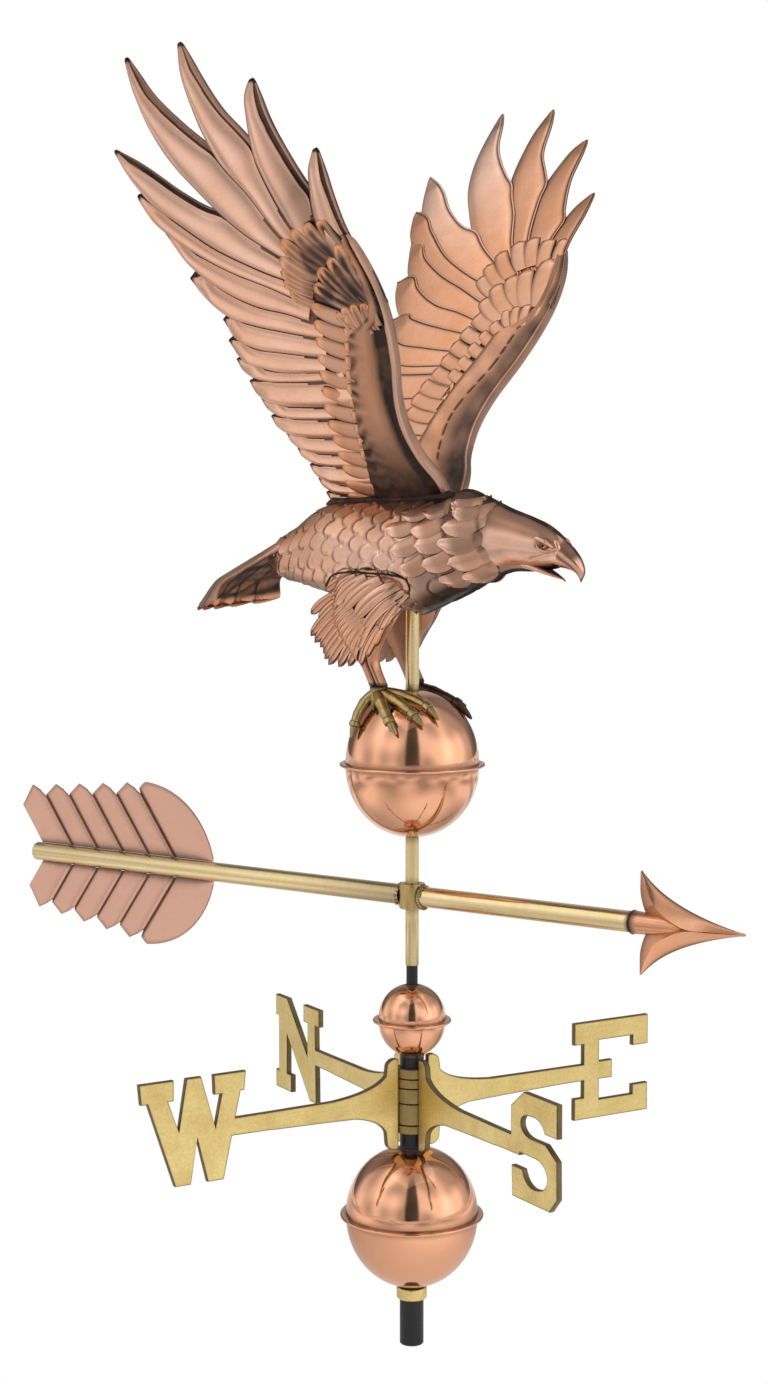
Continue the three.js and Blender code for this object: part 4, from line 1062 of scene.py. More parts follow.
# Root, tip, half width and darkness of each covert under the wing
UNDER_COVERTS = [
    ((27, 211), (9, 238), 7.6, 0.55), ((36, 217), (22, 242), 7.2, 0.6), ((43, 222), (36, 245), 6.4, 0.75),
    ((19, 203), (-5, 230), 8.4, 0.45), ((12, 195), (-13, 215), 7.6, 0.3),
    ((6, 188), (-17, 204), 6.2, 0.25), ((1, 181), (-19, 195), 5.4, 0.2),
    ((-2, 174), (-17, 186), 5.2, 0.2), ((32, 170), (6, 191), 8.6, 0.65),
    ((40, 170), (16, 205), 8.8, 0.85), ((47, 172), (30, 214), 8.8, 0.85),
    ((49, 176), (42, 225), 7.2, 0.8), ((25, 147), (15, 167), 5.2, 0.2), ((29, 146), (23, 172), 5.0, 0.3),
    ((35, 147), (32, 174), 5.0, 0.4), ((41, 150), (41, 174), 5.0, 0.45),
    ((45, 154), (47, 173), 4.6, 0.45),
]

# Root, tip and half width of each covert above the wing, and of the rows in front of them
OVER_COVERTS = [
    ((0, 186), (-20, 205), 5.6), ((4, 195), (-17, 217), 6.0), ((9, 203), (-9, 230), 6.4),
    ((17, 210), (4, 240), 6.8), ((26, 213), (17, 243), 6.8), ((36, 212), (33, 240), 7.0),
    ((47, 212), (47, 240), 5.0), ((15, 160), (-9, 182), 6.2), ((20, 167), (-2, 196), 7.0),
    ((26, 171), (10, 205), 7.4), ((34, 173), (22, 210), 7.8), ((46, 172), (40, 220), 8.2),
    ((24, 153), (17, 170), 4.2), ((31, 152), (26, 173), 4.4), ((38, 153), (36, 174), 4.6),
    ((47, 154), (46, 172), 5.2),
]
OVER_BRICKS = [
    ((7, 154), (-10, 165), 6.4), ((2, 142), (-16, 151), 6.2), ((-3, 129), (-21, 138), 6.4),
    ((-7, 117), (-25, 125), 6.0), ((-11, 105), (-29, 112), 6.2), ((-15, 92), (-35, 99), 6.6),
    ((-16, 80), (-39, 87), 6.2), ((-18, 68), (-39, 74), 5.8), ((-20, 57), (-40, 62), 5.6),
    ((-22, 46), (-42, 50), 5.4), ((-24, 35), (-44, 38), 5.4), ((-26, 24), (-46, 26), 5.4),
    ((-28, 13), (-49, 14), 5.4), ((-30, 2), (-52, 2), 5.4), ((-31, -9), (-54, -10), 5.4),
    ((21, 147), (9, 157), 5.2), ((15, 138), (2, 148), 5.2), ((10, 127), (-4, 136), 5.4),
    ((4, 115), (-9, 123), 5.4), ((0, 104), (-13, 110), 5.2),
]

# Middle (forward, out), reach both ways and strength of the soft patches of dark patina at the wrist
WRIST_PATCHES = [
    (22, 210, 19, 18, 1.0), (37, 184, 15, 14, 1.0), (10, 184, 13, 13, 0.8), (25, 255, 14, 30, 0.26),
]


def wrist_patina(a, w):
    """The dark patch over the coverts at the wrist, on the wing's underside"""
    patches = [strength * hump(a, forward, deep) * hump(w, out, wide)
               for forward, out, deep, wide, strength in WRIST_PATCHES]
    streaks = ripple(np.stack([a * 0.9 - w * 0.35, w * 0.4, 0 * a], -1), 3.4)
    return np.clip(np.max(patches, axis=0) * (1.75 + 0.45 * streaks), 0, 1)


def lapped_edge(front, cover, weight, overlap):
    """Moves a leading edge so that the feather over it covers a strip of the same width all along"""
    line = curve_through(cover, np.linspace(0, 1, 240))
    along = np.gradient(line, axis=0)
    along /= np.linalg.norm(along, axis=1)[:, None]
    nearest = np.argmin(np.linalg.norm(front[:, None] - line[None], axis=-1), axis=1)
    normal = np.stack([along[nearest, 1], -along[nearest, 0]], axis=-1)
    normal *= np.sign(normal[:, 1] + normal[:, 0])[:, None]
    return front + weight[:, None] * (line[nearest] + overlap * normal - front)


class Blade:
    """One lapped feather of the wing: its edges from root to tip and its width along them"""

    def __init__(self, trailing, leading, rows, free, cover, shift, swell):
        sizes = bpy.context.scene.weathervane_sizes
        self.half = sizes.feather_thickness / MM / 2
        self.depth = sizes.channel_depth / MM
        self.overlap = sizes.feather_overlap / MM
        self.share = 1 - (1 - np.linspace(0, 1, rows)) ** 1.7
        self.covered = ease(free + 0.03, free - 0.10, self.share)
        back, front = curve_through(trailing, self.share), curve_through(leading, self.share)
        if cover is not None:
            front = lapped_edge(front, cover, self.covered * ease(-0.01, 0.06, self.share), self.overlap)
        for edge in (back, front):
            edge[:, 1] += shift * self.share ** 2
        spine = (back + front) / 2
        self.left = run_of(spine[::-1])[::-1]
        width = np.maximum(np.linalg.norm(front - back, axis=1), 0.2)
        fuller = swell * np.sin(math.pi * ease(0, 55, self.left) ** 0.6)
        front = front + (front - back) / width[:, None] * fuller[:, None]
        width = np.maximum(np.linalg.norm(front - back, axis=1), 0.2)
        bend_length = max(0.55 * float(np.interp(3.0, self.left[::-1], width[::-1])), 1.0)
        short = np.clip(1 - self.left / bend_length, 0, 1)
        closing = np.sqrt(np.clip(1 - short ** 2, 0.004, 1))[:, None]
        self.back, self.front = spine + (back - spine) * closing, spine + (front - spine) * closing
        self.width = np.maximum(np.linalg.norm(self.front - self.back, axis=1), 0.15)
        self.fade = np.clip(self.left / 18.0, 0.2, 1) ** 0.6
        self.bulge = np.clip(0.085 * self.width, 0.8, 2.6)

    def surface(self, across, height):
        """Points at shares across from the trailing edge, on a plane that tilts towards the leading edge"""
        flat = self.back[None] + across[..., None] * (self.front - self.back)[None]
        height = height + (2 * across - 1) * 1.1 * self.fade
        return np.concatenate([flat, height[..., None]], axis=-1)

    def under(self, channel, rim, channel_tone, tip_tone):
        """The lower side: a rounded vane, then the sunk channel and the rim along the leading edge"""
        channel = np.minimum(channel + self.covered * (self.overlap + 1.9 - channel), self.width * 0.42)
        rim = np.minimum(rim, channel * 0.45)
        vane = self.width - channel
        across, low, shade = [], [], []
        for v in (0, 0.02, 0.06, 0.13, 0.24, 0.38, 0.54, 0.70, 0.84, 0.94, 0.985, 1.0):
            across.append(v * vane / self.width)
            crown = self.bulge * (1 - (2 * v - 1) ** 2) ** 0.75 * ease(0.0, 0.2, v)
            if v >= 0.985:
                crown = 0.2 * (v < 1)
            low.append(-(self.half + crown) * self.fade * min(1.0, 0.35 + v / 0.06 * 0.65))
            lap_shade = 0.55 * np.exp(-(v * vane / 1.7) ** 1.5)
            shade.append(lap_shade + (0.4 if v == 0 else 0.0) + 0.12 * ease(0.8, 0.97, v) * (v < 0.98))
        # The channel's floor is darkened by channel_tone, and almost fully where the next feather covers
        # it: painted shade under the lap, with patina
        floor = ((0.05, 1.0, 0.9), (0.3, 1.0, channel_tone), (0.7, 1.0, channel_tone), (0.92, 0.95, 0.95))
        for k, sunk, tone in floor:
            across.append((vane + k * (channel - rim)) / self.width)
            low.append((self.depth * sunk - self.half) * self.fade)
            shade.append(tone + (0.98 - tone) * self.covered)
        for k, sunk, tone in ((0.05, 0.35, 0.55), (0.5, 0.1, 0.3), (1.0, 0.45, 0.8)):
            across.append((self.width - rim * (1 - k)) / self.width)
            low.append((self.depth * sunk - self.half) * self.fade)
            shade.append(np.full(len(self.share), tone))
        across = np.clip(np.array(across), 0, 1)
        points = self.surface(across, np.array(low))
        tip_dark = tip_tone * ease(4.5, 1.5, self.left) + 0.3 * ease(45, 5, self.left) * (across < 0.015)
        darkening = wrist_patina(points[..., 0], points[..., 1])
        return points, np.clip(np.array(shade) + tip_dark + darkening, 0, 1)

    def over(self, base_shade, warmth):
        """The upper side, from the leading edge back, with a fine line scribed inside its edge"""
        inset = np.minimum(np.array([0, 0.4, 1.4, 1.75, 2.2, 2.6, 3.6])[:, None], self.width[None] * 0.4)
        rest = np.array([0.12, 0.25, 0.42, 0.60, 0.78, 0.9, 0.97, 1.0])[:, None]
        inset = np.concatenate([inset, inset[-1:] + rest * (self.width[None] - inset[-1:])], axis=0)
        from_back = 1 - inset / self.width
        scribed = hump(inset, 1.95, 0.55)
        high = (self.half + 0.5 * self.bulge * (1 - (2 * from_back - 1) ** 4) - 0.8 * scribed) * self.fade
        high = high * np.clip(0.45 + from_back / 0.04 * 0.55, 0, 1)
        dark = 0.95 * scribed + 0.6 * (from_back < 0.01) + 0.8 * (inset < 0.3)
        dark = np.clip(dark + 0.5 * ease(2.5, 1.0, self.left) + base_shade * (0.4 + 0.6 * self.share), 0, 1)
        warm = 0.82 + (warmth - 0.82) * ease(0.15, 0.85, self.share)[None] - 0.3 * (inset < 1.6)
        return self.surface(from_back, high), dark, warm


def add_blade(forms, trailing, leading, channel, rim, rows, tip_tone, free, cover, over_warm=0.6,
              over_shade=0.0, shift=0.0, under_warm=0.25, swell=0.0, channel_tone=1.0):
    """One lapped feather between its edges, with a sunk channel along its leading side below"""
    feather = Blade(trailing, leading, rows, free, cover, shift, swell)
    under, under_dark = feather.under(channel, rim, channel_tone, tip_tone)
    over, over_dark, over_tones = feather.over(over_shade, over_warm)
    rings = np.concatenate([under, over], axis=0).transpose(1, 0, 2)
    dark = np.concatenate([under_dark, over_dark], axis=0).T
    warm = np.concatenate([under_warm + 0.5 * under_dark, over_tones], axis=0).T
    forms.loft(rings, dark, np.clip(warm, 0, 1))


def covert(forms, root, tip, half, side, base, rise, tone, dark_root, square=0.0, flutes=0.0):
    """A small rounded feather that lies on the wing, side -1 below and 1 above"""
    share = np.linspace(0, 1, 16)
    power = 2.2 + 4 * square
    width = half * (0.90 + 0.10 * share) * np.clip(1 - share ** (power * 2.2), 0, 1) ** (1 / power) + 0.15
    flat, _, s = feather_plan(root, tip, width, 0.06, 17 if flutes else 13)
    share = share[:, None]
    seed = float(scatter(root[0], root[1], half))
    end = 0.4 + 0.6 * np.clip(1 - share ** 9, 0, 1) ** 0.5
    crown = base + rise * (0.35 + 0.65 * share) * (1 - np.abs(s) ** 4 * 0.8) * end
    ribs = np.cos(s * (4.0 + 4 * seed) + 6 * seed + 2.5 * share) * (1 - ease(0.8, 1.0, share))
    crown = crown + flutes * ribs
    upper = np.concatenate([flat, (side * crown)[..., None]], axis=-1)
    lower = np.concatenate([flat, np.full(crown.shape + (1,), side * (base - 1.6))], axis=-1)
    # Dark rims, and the dark underside that shows beside them: painted shade and patina in the seam round
    # each covert
    shade = ease(0.84, 0.985, np.abs(s)) + 0 * crown
    shade[-1] = 0.85
    shade = shade + dark_root * (1 - ease(0.70, 0.92, share)) * (0.85 - 0.35 * ribs * (flutes > 0))
    # Below the wing the dark patch spares each tip, left clear as a painted orange glint
    if side < 0:
        patch = wrist_patina(flat[..., 0], flat[..., 1]) * (1 - 0.9 * ease(0.78, 0.92, share + 0.1 * ribs))
        shade = np.maximum(shade, patch * (0.92 - 0.15 * ribs))
    dark = np.clip(np.concatenate([shade, np.ones(shade.shape)], axis=1), 0, 1)
    # Tips below the wing are warmed as a painted orange glint
    warm = np.clip(tone + 0.25 * (seed - 0.5) + 0.35 * ease(0.6, 0.95, share) * (side < 0), 0, 1)
    forms.loft(shell(upper, lower), dark, warm)


def inner_secondary(tip, next_tip):
    """Trailing and leading edges of one of the inner trailing feathers"""
    a, w = tip
    next_w = next_tip[1]
    pitch = next_w - w
    root = -16 + 0.10 * w
    low = [(root, w - 1.15 * pitch), (a + 42, w - 1.2 * pitch), (a + 20, w - 1.12 * pitch),
           (a + 6, w - 0.85 * pitch), (a + 0.6, w - 0.42 * pitch), (a, w)]
    high = [(root, next_w - 0.72 * pitch), (a + 42, next_w - 0.78 * pitch), (a + 20, next_w - 0.7 * pitch),
            (a + 10, w + 0.26 * pitch), (a + 1.5, w + 1.8)]
    return low, high


class Band:
    """The plan of the wing's smooth arm: its leading edge and width at places out along the wing"""

    def __init__(self):
        self.w = np.linspace(-17.5, 229, 200)
        self.lead = smooth_table(LEADING_EDGE, self.w)[:, 0]
        self.width = self.lead - smooth_table(BAND_REAR, self.w)[:, 0]
        self.scale = np.clip(self.width / 30.0, 0.28, 1.0)
        self.taper = (ease(-17.5, -14, self.w) * 0.25 + 0.75) * (0.4 + 0.6 * ease(229.5, 220, self.w))

    def lines(self, fixed, shares):
        """Lines along the leading edge, at fixed distances behind it and then at shares of the rest

        Gives each point's distance behind the edge on a wing of full width, its place forward and outward,
        and its share of the rear part.
        """
        fixed = np.asarray(fixed) * self.scale
        left = np.maximum(self.width - fixed[-1:], 1.0)
        inset = np.concatenate([fixed, fixed[-1:] + np.array(shares)[:, None] * left])
        far = (inset - 18 * self.scale) / np.maximum(self.width - 18 * self.scale, 1)
        return inset / self.scale, self.lead - inset, np.broadcast_to(self.w, inset.shape), far


def band_below(band):
    """The rolled rim, the gutter behind it darkened with painted shade and patina, and the rough rear part
    """
    fixed = [0, 0.5, 1.3, 2.4, 3.6, 4.5, 5.0, 5.8, 7.0, 9.0, 11.0, 13.0, 15.5, 18.0]
    rest = [0.08, 0.2, 0.34, 0.48, 0.62, 0.72, 0.80, 0.87, 0.93, 0.97, 1.0]
    d, a, w, far = band.lines(np.array(fixed)[:, None], rest)
    gutter = 5.5 + 6.5 * hump(w, 125, 45) + 2.0 * hump(w, 185, 20)
    bead = np.sqrt(np.clip(1 - ((d - 2.5) / 2.7) ** 2, 0, 1)) * (0.2 + 0.8 * ease(229, 206, w))
    rough = ripple(np.stack([a, w, 0 * a], -1), 5.0) * ease(0.2, 0.8, far)
    dents = ease(0.60, 0.9, far) * (0.5 + 0.5 * np.sin(w / 2.1 + 1.4 * np.sin(a / 3.0)))
    low = -2.5 - 2.7 * bead * (d < 5.4) - 2.3 * ease(gutter + 1, gutter + 12, d) - 0.45 * rough
    low = low + 0.9 * dents + 1.4 * ease(4.6, 6.0, d) * ease(gutter + 9, gutter + 3, d)
    # Painted shade and patina in the gutter behind the rolled rim
    dark = ease(3.9, 4.8, d) * ease(gutter + 10, gutter + 2.0, d) + 0.25 * ease(gutter + 2, gutter + 10, d)
    dark += 0.55 * ease(80, 0, w) * ease(4, 9, d) + 0.16 * ease(2.4, 4.2, d) + 0.26 * (d < 4.6)
    dark += 0.40 * dents * ease(-2, 20, w) + 0.2 * np.abs(rough) + 0.25 * (d < 0.3)
    dark = np.maximum(dark, 0.9 * wrist_patina(a, w) * (d > 4.4))
    return np.stack([a, w, low * band.taper], -1), dark, 0.28 + 0.55 * ease(4.8, 9, d)


def band_above(band):
    """The darker front, with a stitched line behind it"""
    stitch_at = 20 + 7 * ease(120, 60, band.w)
    front = np.array([0, 0.6, 1.4, 2.4, 3.6, 5.5, 8, 11, 14.5])[:, None] * np.ones(len(band.w))
    round_stitch = stitch_at + np.array([-2.2, -1.0, -0.5, 0, 0.5, 1.0, 2.2])[:, None]
    d, a, w, far = band.lines(np.concatenate([front, round_stitch]), [0.12, 0.3, 0.5, 0.7, 0.85, 0.95, 1.0])
    stitch = hump(d, stitch_at, 0.55) * ease(-0.75, -0.45, np.sin(w * 0.5 + 0.9 * np.sin(w * 0.19)))
    stitch = stitch * ease(20, 32, w) * ease(160, 150, w)
    high = 3.0 + 1.8 * ease(stitch_at - 2, stitch_at + 12, d) - 1.0 * ease(0.9, 1.0, far)
    high = high + 0.5 * hump(d, 1.2, 1.2) - 0.6 * stitch - 0.5 * ease(2.5, 5, d) * ease(10, 6, d)
    dark = 0.34 + 0.45 * ease(1.0, 3.4, d) * ease(stitch_at + 5, stitch_at - 11, d) + 0.75 * stitch
    dark += 0.3 * (d < 0.3) + 0.10 * ripple(np.stack([a, w, 0 * a], -1), 8.0) + 0.22 * ease(40, 5, w)
    return np.stack([a, w, high * band.taper], -1), dark, 0.8 - 0.2 * ease(20, 3, d)


def wing_band(forms):
    """The smooth arm of the wing, below and above"""
    band = Band()
    both = zip(band_below(band), band_above(band))
    points, dark, warm = [np.concatenate([below, above[::-1]]) for below, above in both]
    forms.loft(points.transpose(1, 0, 2), np.clip(dark, 0, 1).T, warm.T)


def painted_shade_sheet(forms):
    """A dark sheet of painted shade that shows in the gaps between the coverts"""
    share = np.linspace(0, 1, 60)
    outer, inner = curve_through(COVERT_LINE, share), curve_through(SMALL_COVERT_LINE, share)
    step = np.linspace(-0.22, 1.12, 9)
    flat = outer[None] + step[:, None, None] * (inner - outer)[None]
    under = np.concatenate([flat, np.full(flat.shape[:2] + (1,), -1.3)], axis=-1)
    over = np.concatenate([flat, np.full(flat.shape[:2] + (1,), 1.3)], axis=-1)
    rings = np.concatenate([under, over[::-1]], axis=0).transpose(1, 0, 2)
    forms.loft(rings, 0.9, 0.5)


def add_wing_feathers(forms, side):
    """The long feathers, outermost first, each lapped by the next one towards the wing's front"""
    upper = side > 0
    shifts = (8.0, 4.0, -3.0, -8.0, -10.0) if upper else (0.0,) * 5
    covers = [row[0] for row in PRIMARY_EDGES[1:]] + [None]
    for row, cover, shift in zip(PRIMARY_EDGES, covers, shifts):
        trailing, leading, channel, rim, free, warm, shade, tone = row
        add_blade(forms, trailing, leading, channel, rim, 56, 0.95, free, cover, warm, shade, shift,
                  under_warm=0.06, swell=2.6 if upper else 0.0, channel_tone=tone)
    channel, rim = 7.4, 0.8
    shifts = (0.0, 3.0, 4.0, 6.0, 7.0) if upper else (0.0,) * 5
    covers = [pair[0] for pair in OUTER_SECONDARIES[1:]] + [PRIMARY_EDGES[0][0]]
    for (trailing, leading), cover, shift in zip(OUTER_SECONDARIES, covers, shifts):
        add_blade(forms, trailing, leading, channel, rim, 44, 0.85, 0.84, cover, 0.8, 0.17, shift)
    tips = INNER_SECONDARY_TIPS + [(-97, 145)]
    edges = [inner_secondary(tip, next_tip) for tip, next_tip in zip(tips, tips[1:])]
    covers = [pair[0] for pair in edges[1:]] + [OUTER_SECONDARIES[0][0]]
    for (trailing, leading), cover in zip(edges, covers):
        add_blade(forms, trailing, leading, channel, rim, 36, 0.5, 0.80, cover, 0.8, 0.20)
    trailing, leading = INNERMOST_SECONDARY
    add_blade(forms, trailing, leading, 4.0, rim, 30, 0.5, 0.8, edges[0][0])


def add_coverts(forms):
    """The short feathers over the roots of the long ones, below the wing and then above it"""
    for i in range(13):
        w = -10 + 14.2 * i
        root = float(np.interp(w, [-8, 16, 44, 65, 118, 148, 165], [-24, -19, -16, -14, -2, 10, 16]))
        tip = float(np.interp(w, [-8, 16, 44, 70, 118, 148, 165], [-53, -46, -42, -38, -20, -9, -4]))
        lean = float(np.interp(w, [0, 60, 120, 165], [7, 6, 12, 13]))
        covert(forms, (root + 10, w - 3), (tip, w + lean), 8.3, -1, 2.0 + 0.15 * (i % 2), 2.2, 0.6, 0.32)
    for i in range(11):
        w = 34 + 12.4 * i
        root = float(np.interp(w, [30, 93, 123, 147, 160], [-15, 0, 12, 22, 28]))
        covert(forms, (root + 7, w - 1), (root - 8, w + 4.5), 6.9, -1, 2.9, 1.3, 0.8, 0.4)
    for i, (root, tip, half, dark_root) in enumerate(UNDER_COVERTS):
        covert(forms, root, tip, half, -1, 2.2 + 0.22 * (i % 3), 2.0, 0.65, dark_root + 0.15, 0.15, 0.3)
    for i, (root, tip, half) in enumerate(OVER_COVERTS):
        covert(forms, root, tip, half + 0.4, 1, 2.0 + 0.24 * (i % 3), 1.6, 0.75, 0.26, 0.6)
    for i, ((a, w), tip, half) in enumerate(OVER_BRICKS):
        covert(forms, (a + 5.0, w - 2.5), tip, half + 0.7, 1, 2.1 + 0.2 * (i % 2), 1.7, 0.75, 0.28, 0.8)


def build_wing(side, word):
    """One wing, side 1 for the eagle's left and -1 for its right"""
    forms = Forms(wing_place(side))
    add_wing_feathers(forms, side)
    painted_shade_sheet(forms)
    wing_band(forms)
    add_coverts(forms)
    make_piece(word + "_wing_feathers", forms, "feather_copper", "vane", [word + "_wing"], crease=32)


def wing_root(side, along, height):
    """Where a line at a height off the wing's plane comes out of the body"""
    count = 120
    out = np.linspace(-20, 12, count)
    line = wing_to_eagle(side, np.stack([np.full(count, along), out, np.full(count, height)], -1))
    top, under, half = smooth_table(BODY_SECTIONS, along)
    level = (line[:, 2] - (top + under) / 2) / ((top - under) / 2)
    inside = level ** 2 + (line[:, 1] / half) ** 2 < 1
    return line[np.max(np.nonzero(inside)[0]) if inside.any() else 0]


def build_wing_seams():
    """The soldered bead where each wing meets the back"""
    def lumps(rings):
        return 0.28 * ripple(rings, 1.6)[..., None] * [0, 1, 1]

    seams = Forms(eagle_place)
    share = np.linspace(0, 1, 90)
    swelling = np.interp(share, [0, 0.04, 0.8, 0.95, 1], [0.2, 0.85, 1.0, 1.35, 0.7])
    for side in (-1, 1):
        path = np.array([wing_root(side, along, -3.2) for along in -76 + 122 * share])
        for column in (1, 2):
            padded = np.pad(path[:, column], 4, mode="edge")
            path[:, column] = np.convolve(padded, np.ones(9) / 9, mode="valid")
        path += [0, side * 1.2, 0.5]
        radius = (3.3 + 0.8 * ripple(path, 6.0)) * swelling
        seams.limb(path, radius, 14, dark=1.0, grain=lumps)
    make_piece("wing_root_seams", seams, "feather_copper", "vane", ["eagle_body"], crease=60)


# Tail, legs and feet

def build_tail():
    """The fanned tail of seven ribbed feathers, dark below"""
    tail = Forms(eagle_place)
    feathers = 7
    t = np.linspace(0, 1, 46)[:, None]
    s = np.linspace(-1, 1, feathers * 12 + 1)[None]
    feather = (s + 1) / 2 * feathers
    within = 2 * (feather - np.floor(np.clip(feather, 0, feathers - 1e-6))) - 1
    reach = 96 - 38 * s ** 2 - 6.0 * np.abs(within) ** 2.5 * ease(0.7, 1.0, t)
    spread = s * (15 + 28 * t ** 0.85)
    curl = ease(0.70, 1.05, t)
    middle = 632 - 0.54 * reach * t - (9 + 5 * t) * s ** 2 - 11 * curl
    rib = 1.5 * np.cos(np.pi * within / 2) ** 0.8 - 0.7 * hump(within, 0, 0.10)
    groove = hump(np.abs(within), 1, 0.12) * (np.abs(s) < 0.995)
    edge_thin = np.clip((1 - t) / 0.04, 0.35, 1)

    def face(height):
        return np.stack([-112 - reach * t - 0.4 * height + 4 * curl, spread, middle + height], axis=-1)

    rings = shell(face((0.7 + rib * 0.8) * edge_thin), face((rib * 0.7 - 1.3) * edge_thin))
    barbs = 0.5 + 0.5 * np.sin(t * 60 - 7 * np.abs(within))
    upper_dark = 0.22 + 0.7 * groove + 0.3 * ease(0.97, 1, t) + 0.08 * barbs
    patch = ripple(np.stack([100 * t + 0 * s, spread, 0 * t * s], -1), 6.0, 1.3)
    lower_dark = 0.88 + 0.35 * groove + 0.25 * patch - 0.8 * ease(0.88, 0.94, t)
    lower_dark = np.clip(lower_dark - 0.5 * ease(0.25, 0.7, patch) * ease(0.45, 0.85, t), 0, 1)
    dark = np.concatenate([upper_dark, lower_dark[:, ::-1]], axis=1)
    lower_warm = 0.75 + 0.25 * ease(0.2, 0.6, patch)
    warm = np.concatenate([np.full(upper_dark.shape, 0.5), lower_warm[:, ::-1]], axis=1)
    tail.loft(rings, dark, warm)
    make_piece("tail_fan", tail, "feather_copper", "vane", ["tail"], crease=40)


# Height, middle forward and outward, half depth and half width of the plain leg
LEG_SECTIONS = [
    (519, -14, 25, 7.6, 6.4), (525, -17, 25, 7.4, 6.4), (538, -23, 25, 8.6, 7.4), (552, -26, 26, 16, 10.5),
    (570, -25, 26, 27, 14), (588, -21, 24, 31, 16), (604, -18, 20, 31, 15.5), (614, -18, 15, 27, 12),
]

# Root and tip (forward, height), half width, layer and how dark the tip is
LEG_FEATHERS = [
    ((-37, 604), (-63, 590), 3.6, 1, 0.8), ((-28, 604), (-56, 584), 5.2, 2, 0.2),
    ((-17, 603), (-46.5, 580.5), 5.8, 3, 0.1), ((-4, 601), (-34.5, 577.5), 6.2, 4, 0.05),
    ((8, 597), (-23, 572), 6.8, 5, 0.05), ((-50, 590), (-75, 572.2), 3.8, 0, 0.9),
    ((-44, 587), (-67.5, 568), 4.0, 0, 0.8), ((-40, 586), (-75.5, 555), 3.9, 1, 0.8),
    ((-34, 582), (-72, 550), 3.8, 1.4, 0.8), ((-29, 580), (-67, 546.5), 3.8, 1.8, 0.75),
    ((-25, 578), (-64.5, 542), 3.7, 2.2, 0.7), ((-21, 576), (-63.5, 537.5), 3.7, 2.6, 0.6),
    ((-18, 574), (-60, 533.2), 3.9, 2.6, 0.5), ((-16, 572), (-50.5, 532), 4.0, 2.4, 0.5),
    ((-14, 570), (-41, 533), 3.8, 2.2, 0.6), ((-12, 568), (-32.5, 537), 3.4, 2.0, 0.5),
    ((-7, 566), (-26, 534), 3.0, 1.4, 0.5), ((0, 570), (-20, 541), 2.8, 1.2, 0.4),
    ((8, 580), (-14, 549), 2.8, 1.0, 0.3), ((14, 590), (-7, 561), 3.0, 1.6, 0.25),
    ((11, 592), (-18, 563), 4.2, 3.4, 0.1), ((6, 585), (-22, 554), 3.8, 3.0, 0.2),
    ((-2, 578), (-25, 546), 3.6, 2.7, 0.3),
]

# The seam between body and thigh, from the back to the front: forward, outward and height
LEG_SEAM = [
    (-60, 30, 594), (-50, 35.5, 602.5), (-34, 37.5, 605.5), (-12, 38, 605), (6, 36, 604), (15, 30, 600),
    (16, 27, 592),
]


def leg_surface(along, height):
    """How far out the plain leg's side lies at a place seen from the side"""
    middle, out, deep, wide = np.moveaxis(smooth_table(LEG_SECTIONS, height), -1, 0)
    return out + side_reach(middle, deep, wide, along, 0.5)


def leg_feather(leg, side, root, tip, half, layer, tip_dark):
    """A long feather laid over the outside of the leg"""
    share = np.linspace(0, 1, 26)
    width = half * (0.62 + 0.38 * share) * np.clip(1 - share ** 5.5, 0, 1) ** 0.55 + 0.25
    flat, centre, s = feather_plan(root, tip, width, -0.05, 13)
    share = share[:, None]
    ribbed = ease(0.1, 0.3, share)
    skin, middle_skin = leg_surface(flat[..., 0], flat[..., 1]), leg_surface(centre[:, 0], centre[:, 1])
    base = 0.45 * skin + 0.55 * middle_skin[:, None]
    crown = 0.5 + 0.35 * layer + share + 1.5 * (1 - np.abs(s) ** 2.2) - 0.7 * hump(s, 0, 0.16) * ribbed
    outer = base + crown * np.clip((1 - share) / 0.08, 0.3, 1)
    shade = 0.02 + 0.95 * (np.abs(s) > 0.97) + 0.5 * hump(s, 0, 0.13) * ribbed
    shade = shade + tip_dark * ease(0.84, 0.95, share) + 0.25 * ease(0.35, 0.0, share)
    dark = np.concatenate([shade, np.full(shade.shape, 0.55)], axis=1)
    rings = shell(side_view(flat, side, outer), side_view(flat, side, base - 2.4))
    leg.loft(rings, np.clip(dark, 0, 1), 0.42 + 0.2 * share)


def build_leg(side, word):
    """A thigh with its laid feathers and shank, and the seam where it meets the body"""
    leg = Forms(eagle_place)
    height = np.linspace(519.2, 612, 60)
    middle, out, deep, wide = smooth_table(LEG_SECTIONS, height).T[..., None]
    turn = np.linspace(0, 2 * math.pi, 56, endpoint=False)
    a = middle + deep * np.cos(turn)
    b = out + wide * np.sin(turn)
    c = height[:, None] + 0 * a
    front_edge = hump(turn, 0.75, 0.22) * ease(545, 556, c) * ease(603, 590, c)
    shank_groove = hump(turn, 1.35, 0.13) * ease(566, 556, c)
    normal = np.stack([np.cos(turn), side * np.sin(turn), 0 * turn], -1)[None]
    relief = (1.6 * front_edge - 1.3 * shank_groove)[..., None]
    points = np.stack([a, side * b, c], axis=-1) + normal * relief
    # The thigh on the eagle's left, away from the camera, is made 0.25 darker as painted shade
    dark = 0.85 * shank_groove + 0.9 * ease(521.5, 520.2, c) + 0.22 + 0.25 * (side > 0)
    leg.loft(points, np.clip(dark + 0.5 * hump(turn, 1.05, 0.10) * ease(560, 570, c), 0, 1), 0.75)
    for feather in LEG_FEATHERS:
        leg_feather(leg, side, *feather)
    seam = curve_through([(a, side * b, c) for a, b, c in LEG_SEAM], np.linspace(0, 1, 40))
    leg.limb(seam, 0.9 + 0.2 * ripple(seam, 4.0), 10, dark=1.0)
    make_piece(word + "_thigh", leg, "feather_copper", "vane", [word + "_leg"], crease=40)


ANKLE = (-14, 25)

